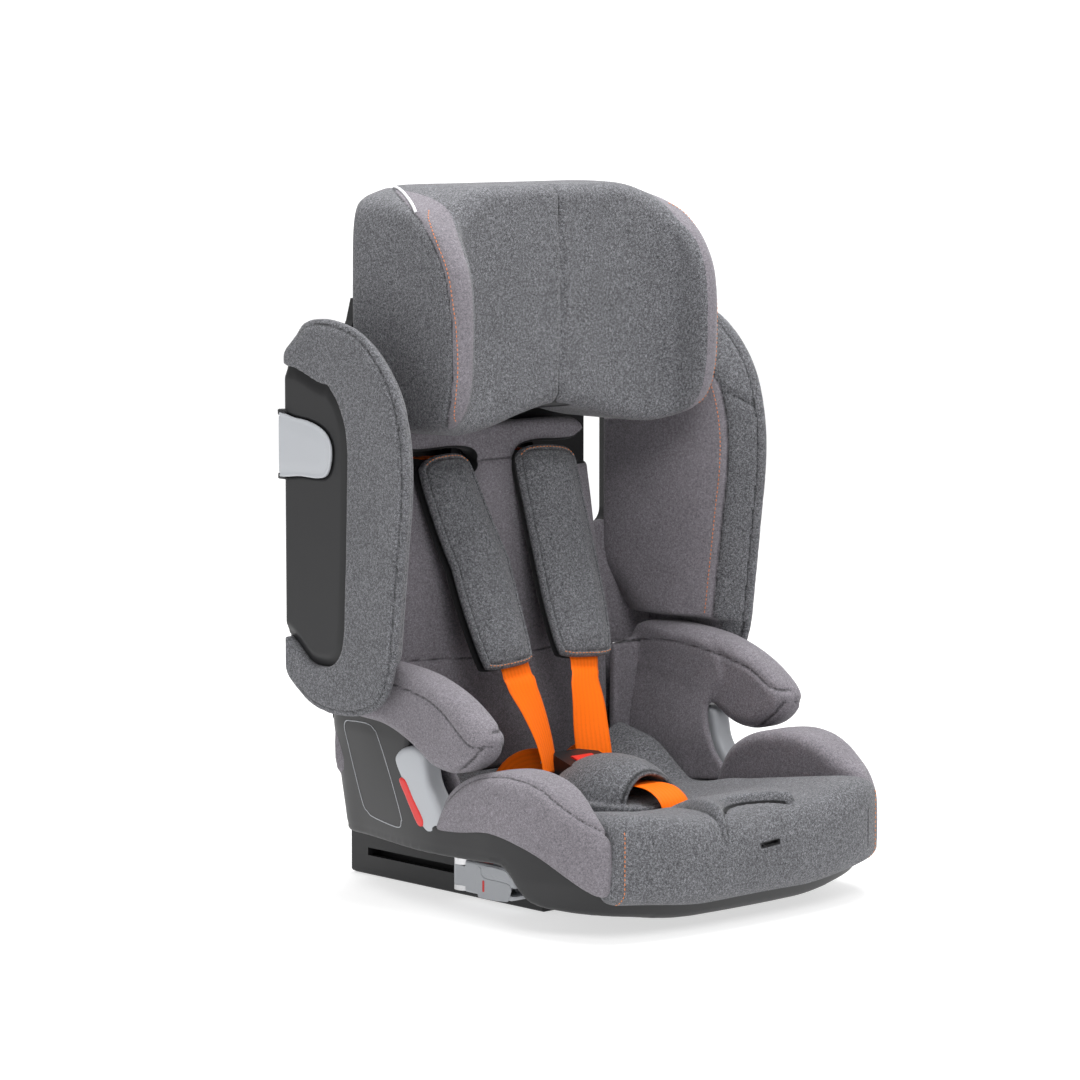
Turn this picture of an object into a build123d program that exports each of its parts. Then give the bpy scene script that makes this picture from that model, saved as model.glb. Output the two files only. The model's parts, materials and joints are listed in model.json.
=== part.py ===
"""Convertible child car seat: booster base, hinged backrest, sliding headrest, harness and lower anchors.

Row frame in millimetres: +X is the seat's left-to-right axis, -Y is the way the child faces, +Z is up.
The origin lies on the flat underside of the base, on the mirror plane.
"""
from build123d import *

import math
import os

os.makedirs("parts", exist_ok=True)

# ---------------------------------------------------------------- driving dimensions
WALL = 4.0                # moulded plastic wall
GAP = 0.4                 # clearance between pieces that lie side by side
SEAT_HALF_WIDTH = 222.0   # base, across the side bolsters
SEAT_FRONT_Y = -385.0
CORNER_R = 106.0          # front corners of the base in plan
BASE_REAR_Y = 86.0
BASE_REAR_HALF = 134.0    # half width of the base at its rear edge
DECK_Z = 66.0             # underside of the cushion on the base
BOLSTER_REAR_Y, BOLSTER_FRONT_Y, BOLSTER_IN_X = -146.0, -338.0, 168.0
SHELL_LOW_Z = 50.0        # lower edge of the shell, above the anchor rails

ANCHOR_HALF = 140.0       # lower anchors are 280 mm apart, centre to centre
RAIL_FACE_X = 126.0       # outer face of a rail housing
RAIL_TOP_Z = 48.0
RAIL_FRONT_Y = -196.0
RAIL_REAR_Y = 88.0
SLOT_Z = 25.0             # middle of the rail's slot
ARM_TRAVEL = 148.0        # how far a connector slides back along its rail

CONNECTOR_HALF = 12.9     # half thickness of the connector across X
CONNECTOR_FRONT_Y = -186.0
THROAT_Y = -172.0         # where the anchor bar sits
JAW_PIVOT = (-152.0, 35.0)      # y, z of the latch pivot
BUTTON_Y = -132.0         # middle of the release slider at rest
PIVOT_Y = -100.0          # connector pivot when stowed
STALK_LENGTH = 34.0       # the carriage's stalk along the slot
YOKE_R = 12.0             # round end of the yoke's ears and of the connector's neck
NECK_Z = (18.0, 38.0)     # the connector's neck between the ears
BLOCK_Z = (12.5, 44.5)    # height of the connector's block

HINGE_Y, HINGE_Z = 45.0, 80.0   # recline axis of the backrest
HINGE_PIN_R = 5.0
TONGUE_HALF = 100.0       # half width of the backrest's hinge tongue

BACK_Y = 50.0             # front face of the backrest shell
BACK_THICK = 12.0
BACK_PAD_TOP_Z = 456.0
GUIDE_Z = (320.0, 588.0)  # the stem's guides on the back plate
RACK_PITCH = 13.0         # step between two headrest heights

PANEL_X = (-246.4, -242.0)      # outer and inner face of the hard panel in the left wing
WING_IN = (-211.0, -104.0)      # x, y of the seam between a wing's front roll and its inner face
WING_FOAM_AT = (-228.0, -38.0, 390.0)
WING_FOAM_SIZE = (20.0, 100.0, 230.0)
FLAP_PIN = (-246.0, 53.0)       # x, y of the impact flap's upright pin
FLAP_PIN_R = 1.5

STEM_HALF = 27.0          # headrest stem that runs in the two channels
STEM_Y = (34.6, 39.6)
STRAP_X = 64.0            # middle of a shoulder strap at its slot
STRAP_W = 38.0            # harness webbing
STRAP_T = 1.6
SLOT_LOW_Z, SLOT_HIGH_Z = 414.0, 431.0

HEAD_REAR_Y = 29.0
HEAD_LOW_Z, HEAD_TOP_Z = 464.0, 704.0
HEAD_FRONT_Y = -85.0      # middle of the headrest's front face
HEAD_FOAM_AT = (0.0, -12.0, 590.0)
HEAD_FOAM_SIZE = (270.0, 82.0, 180.0)
LOCK_Z = 540.0            # height of the lock pin with the headrest down

BUCKLE_TILT = 17.0        # the buckle leans back this far from lying flat
BUCKLE_AT = (0.0, -122.0, 120.0)
ADJUSTER_Y = -352.0       # middle of the harness adjuster in the seat's nose
CROTCH_SLOT_Y = -236.0    # where the crotch strap goes down through the cushion
PAD_TOP = (-62.0, 12.0, 424.0)         # middle of the left shoulder pad's top end
PAD_LOW = (-47.0, -68.0, 222.0)        # middle of its bottom end
TONGUE_END = (-38.0, -109.0, 136.0)    # where a shoulder strap ends, just above the buckle


# ---------------------------------------------------------------- helpers
def save(part, name):
    """Writes one sub-part under its node name."""
    part.label = name
    export_step(part, f"parts/{name}.step")


def save_pair(part, name):
    """Writes the piece on the left side and its mirror image on the right."""
    save(part, f"{name}_left")
    save(mirror(part, about=Plane.YZ), f"{name}_right")


def save_group(solids, name):
    """Writes several separate solids as one node."""
    save(Compound(children=list(solids)), name)


def both_sides(part):
    """The solids of a piece and of its mirror image."""
    return [*part.solids(), *mirror(part, about=Plane.YZ).solids()]


def side_prism(points, x_low, x_high):
    """An outline in (y, z), extruded from x_low to x_high."""
    with BuildPart() as prism:
        with BuildSketch(Plane.YZ.offset(x_low)):
            with BuildLine():
                Polyline(*points, close=True)
            make_face()
        extrude(amount=x_high - x_low)
    return prism.part


def plan_prism(points, z_low, z_high, round_r=0.0):
    """An outline in (x, y), extruded from z_low to z_high, with rounded upright edges."""
    with BuildPart() as prism:
        with BuildSketch(Plane.XY.offset(z_low)) as outline:
            with BuildLine():
                Polyline(*points, close=True)
            make_face()
            if round_r:
                fillet(outline.vertices(), radius=round_r)
        extrude(amount=z_high - z_low)
    return prism.part


# ---------------------------------------------------------------- base shell
def base_plan(inset=0.0):
    """Half of the base's plan outline on the left, as (x, y) points, moved inwards by inset."""
    half = SEAT_HALF_WIDTH - 6 - inset
    r = CORNER_R - inset
    front = SEAT_FRONT_Y + 8 + inset
    corner = [
        (-half + r - r * math.cos(math.radians(a)), front + r - r * math.sin(math.radians(a)))
        for a in range(0, 91, 15)
    ]
    rear = BASE_REAR_Y - inset
    sides = [(-BASE_REAR_HALF + inset, rear), (-176 + inset, -60), (-half, -170)]
    return [(0, rear), *sides, *corner, (0, front)]


def both_halves(points):
    """A left-hand outline followed by its mirror image, closed on the mirror plane."""
    return points + [(-x, y) for x, y in reversed(points[1:-1])]


def base_side(inset=0.0):
    """The base's side outline as (y, z) points: deck, sloping nose, skid and the step over the rails."""
    return [
        (BASE_REAR_Y - inset, SHELL_LOW_Z),
        (BASE_REAR_Y - inset, DECK_Z + 24 - inset),
        (-140, DECK_Z + 24 - inset),
        (-227, DECK_Z + 26 - inset),
        (-285, DECK_Z + 14 - inset),
        (-351, DECK_Z - 8 - inset),
        (-390, DECK_Z - 24 - inset),
        (-392 + 2 * inset, 36),
        (-368 + inset, 20 + inset / 2),
        (-300, 6 + inset),
        (RAIL_FRONT_Y - 4 - inset, 6 + inset),
        (RAIL_FRONT_Y - 4 - inset, SHELL_LOW_Z),
    ]


def make_base_shell():
    """The booster's moulded shell: a hollow tub, open below, with a well for the backrest's tongue."""
    reach = SEAT_HALF_WIDTH
    with BuildPart() as shell:
        add(side_prism(base_side(), -reach, reach))
        add(plan_prism(both_halves(base_plan()), 0, 120), mode=Mode.INTERSECT)
        fillet(shell.edges().filter_by(Axis.X).group_by(Axis.Y)[0], radius=3)
        inner = side_prism(base_side(WALL), -reach, reach) & plan_prism(both_halves(base_plan(WALL)), 0, 120)
        add(inner, mode=Mode.SUBTRACT)
        # well for the backrest's hinge tongue, open to the rear
        with Locations((0, 60, 90)):
            Box(2 * TONGUE_HALF + 8, 100, 90, mode=Mode.SUBTRACT)
        # slot that the crotch strap comes up through
        with Locations((0, CROTCH_SLOT_Y, 90)):
            Box(52, 12, 60, mode=Mode.SUBTRACT)
        # recess for the harness adjuster in the nose
        with Locations((0, ADJUSTER_Y, 62)):
            Box(60.8, 52.8, 60, mode=Mode.SUBTRACT)
    return shell.part


UPRIGHT_SIDE = [
    (70, 92), (60, 168), (40, 214), (-20, 234), (-110, 232), (-170, 218), (-205, 190),
    (-205, 172), (-170, 160), (-126, 164), (-112, 130), (-122, 92),
]


def make_arm_upright():
    """The plastic upright on one side of the base, with the horn that carries the armrest."""
    plan = [
        (-176, 80), (-190, 80), (-206, -60), (-212, -130),
        (-212, -210), (-200, -210), (-198, -130), (-192, -60),
    ]
    with BuildPart() as upright:
        add(side_prism(UPRIGHT_SIDE, -SEAT_HALF_WIDTH, -150))
        add(plan_prism(plan, 0, 300), mode=Mode.INTERSECT)
    return upright.part


def make_bottom_cover():
    """The flat pan that closes the base and stands on the vehicle's seat."""
    outline = [(0, 84), (-98, 84), (-98, -236), (-88, -250), (-70, -256), (0, -256)]
    with BuildPart() as cover:
        add(plan_prism(both_halves(outline), 0, WALL))
        with BuildSketch(Plane.XY.offset(WALL)):
            with Locations((0, -60)):
                for x in (-70, 0, 70):
                    with Locations((x, 0)):
                        Rectangle(WALL, 220)
        extrude(amount=34)
    return cover.part


# ---------------------------------------------------------------- lower anchor rails and connectors
def make_rail_housing():
    """The box beside the pan that guides one connector, with its long slot."""
    with BuildPart() as housing:
        with BuildSketch(Plane.XZ.offset(-RAIL_REAR_Y)):
            with Locations((-(RAIL_FACE_X - 13), RAIL_TOP_Z / 2 + 0.5)):
                RectangleRounded(26, RAIL_TOP_Z - 1, 2)
        extrude(amount=RAIL_REAR_Y - RAIL_FRONT_Y)
        # the channel that the carriage's block runs in
        with Locations((-(RAIL_FACE_X - 13), -55, SLOT_Z)):
            Box(14, 250, 20, mode=Mode.SUBTRACT)
        # the narrow slot through the outer face, from the stowed stalk to the end of its travel
        slot_front = PIVOT_Y - STALK_LENGTH / 2 - 2
        slot_rear = PIVOT_Y + ARM_TRAVEL + STALK_LENGTH / 2 + 2
        with Locations((-(RAIL_FACE_X - 3), (slot_front + slot_rear) / 2, SLOT_Z)):
            Box(10, slot_rear - slot_front, 8, mode=Mode.SUBTRACT)
    return housing.part


def make_rail_end_cap():
    """The cap on the rear end of a rail housing."""
    with BuildPart() as cap:
        with BuildSketch(Plane.XZ.offset(-(RAIL_REAR_Y + 5))):
            with Locations((-(RAIL_FACE_X - 13), RAIL_TOP_Z / 2 + 0.5)):
                RectangleRounded(26, RAIL_TOP_Z - 1, 4)
        extrude(amount=5)
    return cap.part


def make_carriage():
    """The sliding yoke: a block in the rail, a stalk through the slot, and two ears round the pivot."""
    with BuildPart() as carriage:
        with Locations((-(RAIL_FACE_X - 13), PIVOT_Y, SLOT_Z)):
            Box(13, 40, 19)
        with Locations((-(RAIL_FACE_X - 4), PIVOT_Y, SLOT_Z)):
            Box(10, STALK_LENGTH, 7)
        face = -RAIL_FACE_X - 0.3
        with Locations((face - 0.65, PIVOT_Y, (BLOCK_Z[0] + BLOCK_Z[1]) / 2)):
            Box(1.3, 2 * YOKE_R, BLOCK_Z[1] - BLOCK_Z[0])
        for low, high in ((BLOCK_Z[0], NECK_Z[0] - 0.3), (NECK_Z[1] + 0.3, BLOCK_Z[1])):
            with BuildSketch(Plane.XY.offset(low)):
                with Locations((-ANCHOR_HALF, PIVOT_Y)):
                    Circle(YOKE_R)
                with Locations(((face - ANCHOR_HALF) / 2, PIVOT_Y)):
                    Rectangle(ANCHOR_HALF + face, 2 * YOKE_R)
            extrude(amount=high - low)
        with Locations((-ANCHOR_HALF, PIVOT_Y, BLOCK_Z[1])):
            Hole(radius=3.0)
    return carriage.part


def make_pivot_pin():
    """The upright pin of the yoke."""
    with BuildPart() as pin:
        with Locations((-ANCHOR_HALF, PIVOT_Y, (BLOCK_Z[0] + BLOCK_Z[1]) / 2)):
            Cylinder(radius=2.95, height=BLOCK_Z[1] - BLOCK_Z[0] - 0.4)
    return pin.part


def make_connector():
    """The latch body: neck, block, a throat for the anchor bar, a latch chamber and a button seat."""
    length = PIVOT_Y - YOKE_R - 1.2 - CONNECTOR_FRONT_Y
    middle_y = (PIVOT_Y - YOKE_R - 1.2 + CONNECTOR_FRONT_Y) / 2
    with BuildPart() as body:
        with Locations((-ANCHOR_HALF, middle_y, (BLOCK_Z[0] + BLOCK_Z[1]) / 2)):
            Box(2 * CONNECTOR_HALF, length, BLOCK_Z[1] - BLOCK_Z[0])
        fillet(body.edges().filter_by(Axis.X).group_by(Axis.Y)[0], radius=9)
        fillet(body.edges().filter_by(Axis.Y), radius=3)
        with BuildSketch(Plane.XY.offset(NECK_Z[0])):
            with Locations((-ANCHOR_HALF, PIVOT_Y)):
                Circle(YOKE_R)
            with Locations((-ANCHOR_HALF, PIVOT_Y - 10)):
                Rectangle(2 * YOKE_R, 20)
        extrude(amount=NECK_Z[1] - NECK_Z[0])
        with Locations((-ANCHOR_HALF, PIVOT_Y, NECK_Z[1])):
            Hole(radius=3.0)
        # throat: open to the front and across the whole width
        with Locations((-ANCHOR_HALF, (CONNECTOR_FRONT_Y + THROAT_Y - 4) / 2, 22)):
            Box(40, THROAT_Y + 4 - CONNECTOR_FRONT_Y + 8, 8.4, mode=Mode.SUBTRACT)
        # latch chamber in the middle of the body
        with Locations((-ANCHOR_HALF, -158, 28.5)):
            Box(9, 36, 23, mode=Mode.SUBTRACT)
        # latch pin hole
        with Locations(Location((-ANCHOR_HALF, JAW_PIVOT[0], JAW_PIVOT[1]), (0, 90, 0))):
            Cylinder(radius=1.5, height=18, mode=Mode.SUBTRACT)
        # button seat in the top face
        with Locations((-ANCHOR_HALF, -134, 43.5)):
            Box(14.6, 26.6, 8, mode=Mode.SUBTRACT)
    return body.part


def make_jaw():
    """The steel latch that closes behind the anchor bar, with the pin it turns on."""
    y, z = JAW_PIVOT
    outline = [
        (y + 5, z + 3), (y - 4, z + 4), (y - 22, z - 5), (y - 23, z - 8.5), (y - 19, z - 8.5), (y - 5, z - 5),
        (y + 5, z - 4),
    ]
    with BuildPart() as jaw:
        with BuildSketch(Plane.YZ.offset(-ANCHOR_HALF - 2.5)):
            with BuildLine():
                Polyline(*outline, close=True)
            make_face()
        extrude(amount=5)
        with Locations(Location((-ANCHOR_HALF, y, z), (0, 90, 0))):
            Cylinder(radius=1.45, height=17)
    return jaw.part


def make_connector_button():
    """The release slider in the top of the connector."""
    with BuildPart() as button:
        with Locations((-ANCHOR_HALF, BUTTON_Y, 42.6)):
            Box(14, 18, 5)
        fillet(button.edges().filter_by(Axis.Z), radius=2)
        with Locations((-ANCHOR_HALF, BUTTON_Y, 46)):
            for offset in (-5, 0, 5):
                with Locations((0, offset, 0)):
                    Box(12, 1.6, 2)
    return button.part


# ---------------------------------------------------------------- cushions of the base
def make_seat_cushion():
    """The dark seat cushion: deck, rolled nose and the whole front of the base."""
    side = [
        (6, DECK_Z + 24.4), (4, 100), (-60, 103), (-200, 101), (-290, 104), (-345, 112), (-372, 104),
        (-385, 82), (-386, 62), (-378, 48), (-351, 59), (-285, 80.6), (-227, 92.6), (-140, 90.6),
    ]
    with BuildPart() as cushion:
        add(side_prism(side, -SEAT_HALF_WIDTH, SEAT_HALF_WIDTH))
        add(plan_prism(both_halves(cushion_plan()), 0, 200), mode=Mode.INTERSECT)
        with Locations((0, CROTCH_SLOT_Y, 90)):
            Box(52, 12, 60, mode=Mode.SUBTRACT)
        with Locations((0, ADJUSTER_Y, 62)):
            Box(61.6, 53.6, 60, mode=Mode.SUBTRACT)
    return cushion.part


def cushion_plan():
    """Half of the cushion's plan: narrow between the bolsters, full width at the nose."""
    r = CORNER_R
    corner = [
        (
            -SEAT_HALF_WIDTH + r - r * math.cos(math.radians(a)),
            SEAT_FRONT_Y + r - r * math.sin(math.radians(a)),
        )
        for a in range(45, 91, 15)
    ]
    return [
        (0, 6), (-150, 6), (-BOLSTER_IN_X + GAP, -20), (-BOLSTER_IN_X + GAP, BOLSTER_FRONT_Y - GAP),
        (-SEAT_HALF_WIDTH + 12, BOLSTER_FRONT_Y - GAP), *corner, (0, SEAT_FRONT_Y),
    ]


def make_side_bolster():
    """The padded thigh bolster on one side of the base."""
    side = [
        (BOLSTER_REAR_Y, 93), (-150, 118), (-172, 140), (-215, 150), (-270, 150), (-318, 138),
        (BOLSTER_FRONT_Y, 126), (BOLSTER_FRONT_Y, 66), (-285, 83), (-227, 95), (-160, 92.6),
    ]
    with BuildPart() as bolster:
        add(side_prism(side, -SEAT_HALF_WIDTH, -BOLSTER_IN_X))
        fillet(bolster.faces().sort_by(Axis.X)[0].edges().group_by(Axis.Z)[-1], radius=10)
    return bolster.part


def make_armrest_pad(upright):
    """The padded sleeve over the horn of one upright."""
    side = [
        (-20, 242), (-112, 240), (-176, 225), (-212, 196), (-214, 172), (-196, 152), (-160, 144),
        (-128, 148), (-116, 168), (-70, 190), (-20, 196),
    ]
    with BuildPart() as pad:
        add(side_prism(side, -SEAT_HALF_WIDTH - 2, -186))
        add(upright, mode=Mode.SUBTRACT)
    return pad.part


def make_belt_guide(upright, shell):
    """The lap-belt guide on one side: a smooth hook between the armrest and the bolster."""
    outline = [
        (-76, 152), (-104, 160), (-118, 146), (-126, 120), (-142, 96), (-138, 84), (-124, 80), (-110, 88),
        (-92, 112), (-78, 140),
    ]
    with BuildPart() as guide:
        with BuildSketch(Plane.YZ.offset(-(SEAT_HALF_WIDTH - 3))):
            with BuildLine():
                Polyline(*outline, close=True)
            make_face()
            fillet(vertices(), radius=4)
        extrude(amount=34)
        add([upright, shell], mode=Mode.SUBTRACT)
    return guide.part


# ---------------------------------------------------------------- recline hinge
def make_hinge_bracket():
    """The block on one side of the base that holds a hinge pin."""
    with BuildPart() as bracket:
        with Locations((-(TONGUE_HALF + 14.5), HINGE_Y, HINGE_Z - 10)):
            Box(20, 34, 32)
        with Locations(Location((-(TONGUE_HALF + 14.5), HINGE_Y, HINGE_Z), (0, 90, 0))):
            Cylinder(radius=HINGE_PIN_R, height=22, mode=Mode.SUBTRACT)
    return bracket.part


def make_hinge_pin():
    """The steel pin that the backrest turns on, pressed into its bracket."""
    with BuildPart() as pin:
        with Locations(Location((-TONGUE_HALF - 4, HINGE_Y, HINGE_Z), (0, 90, 0))):
            Cylinder(radius=HINGE_PIN_R, height=40)
    return pin.part


# ---------------------------------------------------------------- backrest
BACK_OUTLINE = [
    (0, 112), (150, 112), (176, 170), (182, 236), (214, 268), (220, 310), (220, 510), (206, 536),
    (170, 546), (156, 570), (150, 592), (0, 592),
]
WINDOW_X, WINDOW_WIDTH = 177.0, 34.0   # the openings beside the back pad
def make_backrest_shell():
    """The backrest's moulded frame: a plate with side windows, and the tongue that drops into the base."""
    back = BACK_Y + BACK_THICK
    tongue = [(59, 113), (59, 72), (52, 64), (38, 64), (31, 72), (31, 86), (37, 96), (37, 104), (52, 113)]
    with BuildPart() as shell:
        with BuildSketch(Plane.XZ.offset(-back)):
            with BuildLine():
                Polyline(*both_halves([(-x, z) for x, z in BACK_OUTLINE]), close=True)
            make_face()
            with Locations((-WINDOW_X, 440), (WINDOW_X, 440)):
                SlotOverall(200, WINDOW_WIDTH, rotation=90, mode=Mode.SUBTRACT)
            # the two long slots that the shoulder straps pass through
            with Locations((-STRAP_X, 422), (STRAP_X, 422)):
                RectangleRounded(48, 24, 4, mode=Mode.SUBTRACT)
        extrude(amount=BACK_THICK)
        add(side_prism(tongue, -TONGUE_HALF, TONGUE_HALF))
        with Locations(Location((0, HINGE_Y, HINGE_Z), (0, 90, 0))):
            Cylinder(radius=HINGE_PIN_R + 0.05, height=2 * TONGUE_HALF + 2, mode=Mode.SUBTRACT)
    return shell.part


def make_rear_cover():
    """The cover on the back of the backrest, over the strap yoke."""
    inner_y = BACK_Y + BACK_THICK + GAP
    with BuildPart() as cover:
        with BuildSketch(Plane.XZ.offset(-(inner_y + 17))):
            with Locations((0, 335)):
                RectangleRounded(268, 400, 40)
        extrude(amount=17)
        with BuildSketch(Plane.XZ.offset(-(inner_y + 13))):
            with Locations((0, 335)):
                RectangleRounded(260, 392, 36)
        extrude(amount=13, mode=Mode.SUBTRACT)
    return cover.part


def make_strap_yoke():
    """The steel plate behind the backrest that joins both shoulder straps to the adjuster strap."""
    with BuildPart() as yoke:
        with BuildSketch(Plane.XZ.offset(-70)):
            with Locations((0, 380)):
                RectangleRounded(180, 44, 8)
            with Locations((-STRAP_X, 388), (STRAP_X, 388)):
                RectangleRounded(42, 8, 3, mode=Mode.SUBTRACT)
            with Locations((0, 370)):
                RectangleRounded(42, 8, 3, mode=Mode.SUBTRACT)
        extrude(amount=3)
    return yoke.part


def make_stem_guide():
    """One of the two rails that guide the headrest's stem."""
    with BuildPart() as guide:
        with Locations((-(STEM_HALF + 6.6), (STEM_Y[0] + BACK_Y) / 2, (GUIDE_Z[0] + GUIDE_Z[1]) / 2)):
            Box(12, BACK_Y - STEM_Y[0], GUIDE_Z[1] - GUIDE_Z[0])
    return guide.part


def make_lock_rack():
    """The steel rack of height notches down the middle of the back plate."""
    with BuildPart() as rack:
        with Locations((0, 47.5, (GUIDE_Z[0] + GUIDE_Z[1]) / 2)):
            Box(18, 5, GUIDE_Z[1] - GUIDE_Z[0])
        count = int((GUIDE_Z[1] - GUIDE_Z[0]) // RACK_PITCH) - 1
        for i in range(count):
            with Locations(Location((0, 45, GUIDE_Z[0] + 14 + RACK_PITCH * i), (0, 90, 0))):
                Cylinder(radius=2.6, height=20, mode=Mode.SUBTRACT)
    return rack.part


def make_back_pad():
    """The padded panel behind the child's back, with the two strap slots."""
    rear = STEM_Y[0] - 1.6
    side = [
        (rear, 104), (0, 106), (-4, 150), (-4, 226), (6, 330), (18, 410), (20, 444), (26, BACK_PAD_TOP_Z),
        (rear, BACK_PAD_TOP_Z),
    ]
    front = [(0, 100), (-146, 100), (-146, 226), (-141, 392), (-134, 450), (-128, 470), (0, 470)]
    with BuildPart() as pad:
        add(side_prism(side, -150, 150))
        with BuildSketch(Plane.XZ.offset(-60)):
            with BuildLine():
                Polyline(*both_halves(front), close=True)
            make_face()
        extrude(amount=100, mode=Mode.INTERSECT)
        with Locations((-(STRAP_X + 6), 20, (SLOT_LOW_Z + SLOT_HIGH_Z) / 2), (STRAP_X + 6, 20, 422.5)):
            Box(88, 60, SLOT_HIGH_Z - SLOT_LOW_Z, mode=Mode.SUBTRACT)
    return pad.part


WING_SIDE = [
    (48, 242), (47, 420), (40, 548), (10, 578), (-32, 577), (-90, 556), (-126, 508), (-138, 450), (-138, 400),
    (-130, 340), (-116, 226), (-92, 198), (-55, 184), (17, 192),
]
WING_FRONT = [
    (-226, 180), (-240, 190), (-248, 230), (-250, 300), (-250, 470), (-245, 512), (-233, 545), (-212, 566),
    (-188, 576), (-188, 457), (-150, 450), (-150, 246), (-226, 246),
]
PANEL_SIDE = [
    (49, 511), (-11, 514), (-34, 500), (-50, 462), (-47, 360), (-44, 265), (-17, 237), (38, 262), (49, 300),
]


def make_wing_pad():
    """The padded cover of one side wing: an outer frame round the panel, a front roll and an inner face."""
    plan = [(-250, 48), (-250, -118), (-246, -131), (-238, -137), WING_IN, (-175, 36), (-181, 48)]
    with BuildPart() as pad:
        add(side_prism(WING_SIDE, -250, -150))
        add(plan_prism(plan, 150, 620), mode=Mode.INTERSECT)
        with BuildSketch(Plane.XZ.offset(-60)):
            with BuildLine():
                Polyline(*WING_FRONT, close=True)
            make_face()
        extrude(amount=220, mode=Mode.INTERSECT)
        add(side_prism(PANEL_SIDE, PANEL_X[0] - 5, PANEL_X[1] + GAP), mode=Mode.SUBTRACT)
        with Locations(WING_FOAM_AT):
            Box(*WING_FOAM_SIZE, mode=Mode.SUBTRACT)
    return pad.part


def make_wing_foam():
    """The block of shock-absorbing foam inside one wing."""
    with BuildPart() as foam:
        with Locations(WING_FOAM_AT):
            Box(*WING_FOAM_SIZE)
    return foam.part


FLAP_SIDE = [(52, 424), (-18, 426), (-25, 446), (-17, 464), (4, 476), (52, 479)]


def make_wing_panel():
    """The hard panel set in the outside of one wing, with the two lugs of the impact flap's hinge."""
    x, y = FLAP_PIN
    well = [(60, 423), (-20, 423), (-28, 446), (-17, 468), (4, 480), (60, 480.5)]
    with BuildPart() as panel:
        add(side_prism(PANEL_SIDE, *PANEL_X))
        with Locations((x, 52, 420), (x, 52, 483.5)):
            Box(7.6, 10, 6)
        with Locations((x, y, 450)):
            Cylinder(radius=FLAP_PIN_R, height=80, mode=Mode.SUBTRACT)
        # shallow well that the flap closes into
        add(side_prism(well, -260, -244.6), mode=Mode.SUBTRACT)
    return panel.part


def make_flap_pin():
    """The upright pin of the impact flap."""
    with BuildPart() as pin:
        with Locations((FLAP_PIN[0], FLAP_PIN[1], 451.75)):
            Cylinder(radius=FLAP_PIN_R, height=69)
    return pin.part


def make_side_flap():
    """The side-impact flap that swings out of the wing."""
    x, y = FLAP_PIN
    with BuildPart() as flap:
        add(side_prism(FLAP_SIDE, -250, -246.6))
        fillet(flap.edges().filter_by(Axis.X).group_by(Axis.Y)[0], radius=7)
        with Locations((x, y, 451.5)):
            Cylinder(radius=3.6, height=55)
        with Locations((x, y, 451.5)):
            Cylinder(radius=FLAP_PIN_R + 0.05, height=60, mode=Mode.SUBTRACT)
    return flap.part


# ---------------------------------------------------------------- harness
def slanted_bar(low, high, low_size, high_size):
    """A bar of rectangular section between two level ends, each given by its middle and (x, y) size."""
    with BuildPart() as bar:
        with BuildSketch(Plane.XY.offset(low[2])):
            with Locations(low[:2]):
                Rectangle(*low_size)
        with BuildSketch(Plane.XY.offset(high[2])):
            with Locations(high[:2]):
                Rectangle(*high_size)
        loft()
    return bar.part


def make_shoulder_pad():
    """The long pad round one shoulder strap."""
    middle = (-56.0, -34.0, 330.0)
    low = slanted_bar(PAD_LOW, middle, (62, 18), (66, 18))
    high = slanted_bar(middle, PAD_TOP, (66, 18), (68, 16))
    return low + high


def make_shoulder_strap():
    """The webbing of one shoulder strap: below its pad, and through the slots to the yoke."""
    x, y, z = PAD_LOW
    lower = slanted_bar(TONGUE_END, (x, y, z - 0.4), (STRAP_W, 4), (STRAP_W, 4))
    with BuildPart() as upper:
        with Locations((-STRAP_X, 45.5, 423)):
            Box(STRAP_W, 49, STRAP_T)
    return [*lower.solids(), *upper.part.solids()]


def make_lap_strap():
    """The webbing of one lap strap, from the hip to the buckle tongue."""
    with BuildPart() as strap:
        with BuildSketch(Plane.YZ.offset(-52)):
            with Locations((-105, 126)):
                Rectangle(26, 4)
        with BuildSketch(Plane.YZ.offset(-128)):
            with Locations((-52, 111)):
                Rectangle(38, 4)
        loft()
    return strap.part


BUCKLE_PLANE = Plane(
    origin=BUCKLE_AT,
    x_dir=(1, 0, 0),
    z_dir=(0, -math.sin(math.radians(BUCKLE_TILT)), math.cos(math.radians(BUCKLE_TILT))),
)


def make_buckle_body():
    """The buckle's housing, with the button's seat and the mouth that the tongues go in."""
    with BuildPart(BUCKLE_PLANE) as buckle:
        Box(58, 48, 20)
        fillet(buckle.edges().filter_by(Axis((0, 0, 0), BUCKLE_PLANE.z_dir)), radius=10)
        with Locations((0, -4, 7)):
            Box(28.6, 26.6, 8, mode=Mode.SUBTRACT)
        with Locations((0, 14, -2)):
            Box(44, 24, 5, mode=Mode.SUBTRACT)
    return buckle.part


def make_buckle_button():
    """The red release button."""
    with BuildPart(BUCKLE_PLANE) as button:
        with Locations((0, -4, 9.6)):
            Box(28, 26, 4)
        fillet(button.edges().group_by(Axis.Z)[-1], radius=1)
    return button.part


def make_buckle_tongue():
    """One steel tongue, latched in the buckle."""
    with BuildPart(BUCKLE_PLANE) as tongue:
        with Locations((-11, 17, -2)):
            Box(18, 26, 3)
        with Locations((-17, 34, -2)):
            Box(34, 12, 3)
    return tongue.part


def make_crotch_pad():
    """The padded sleeve on the crotch strap, in front of the buckle."""
    side = [(-154, 109), (-152, 131), (-160, 138), (-180, 138), (-204, 131), (-232, 125), (-244, 109)]
    return side_prism(side, -46, 46)


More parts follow.
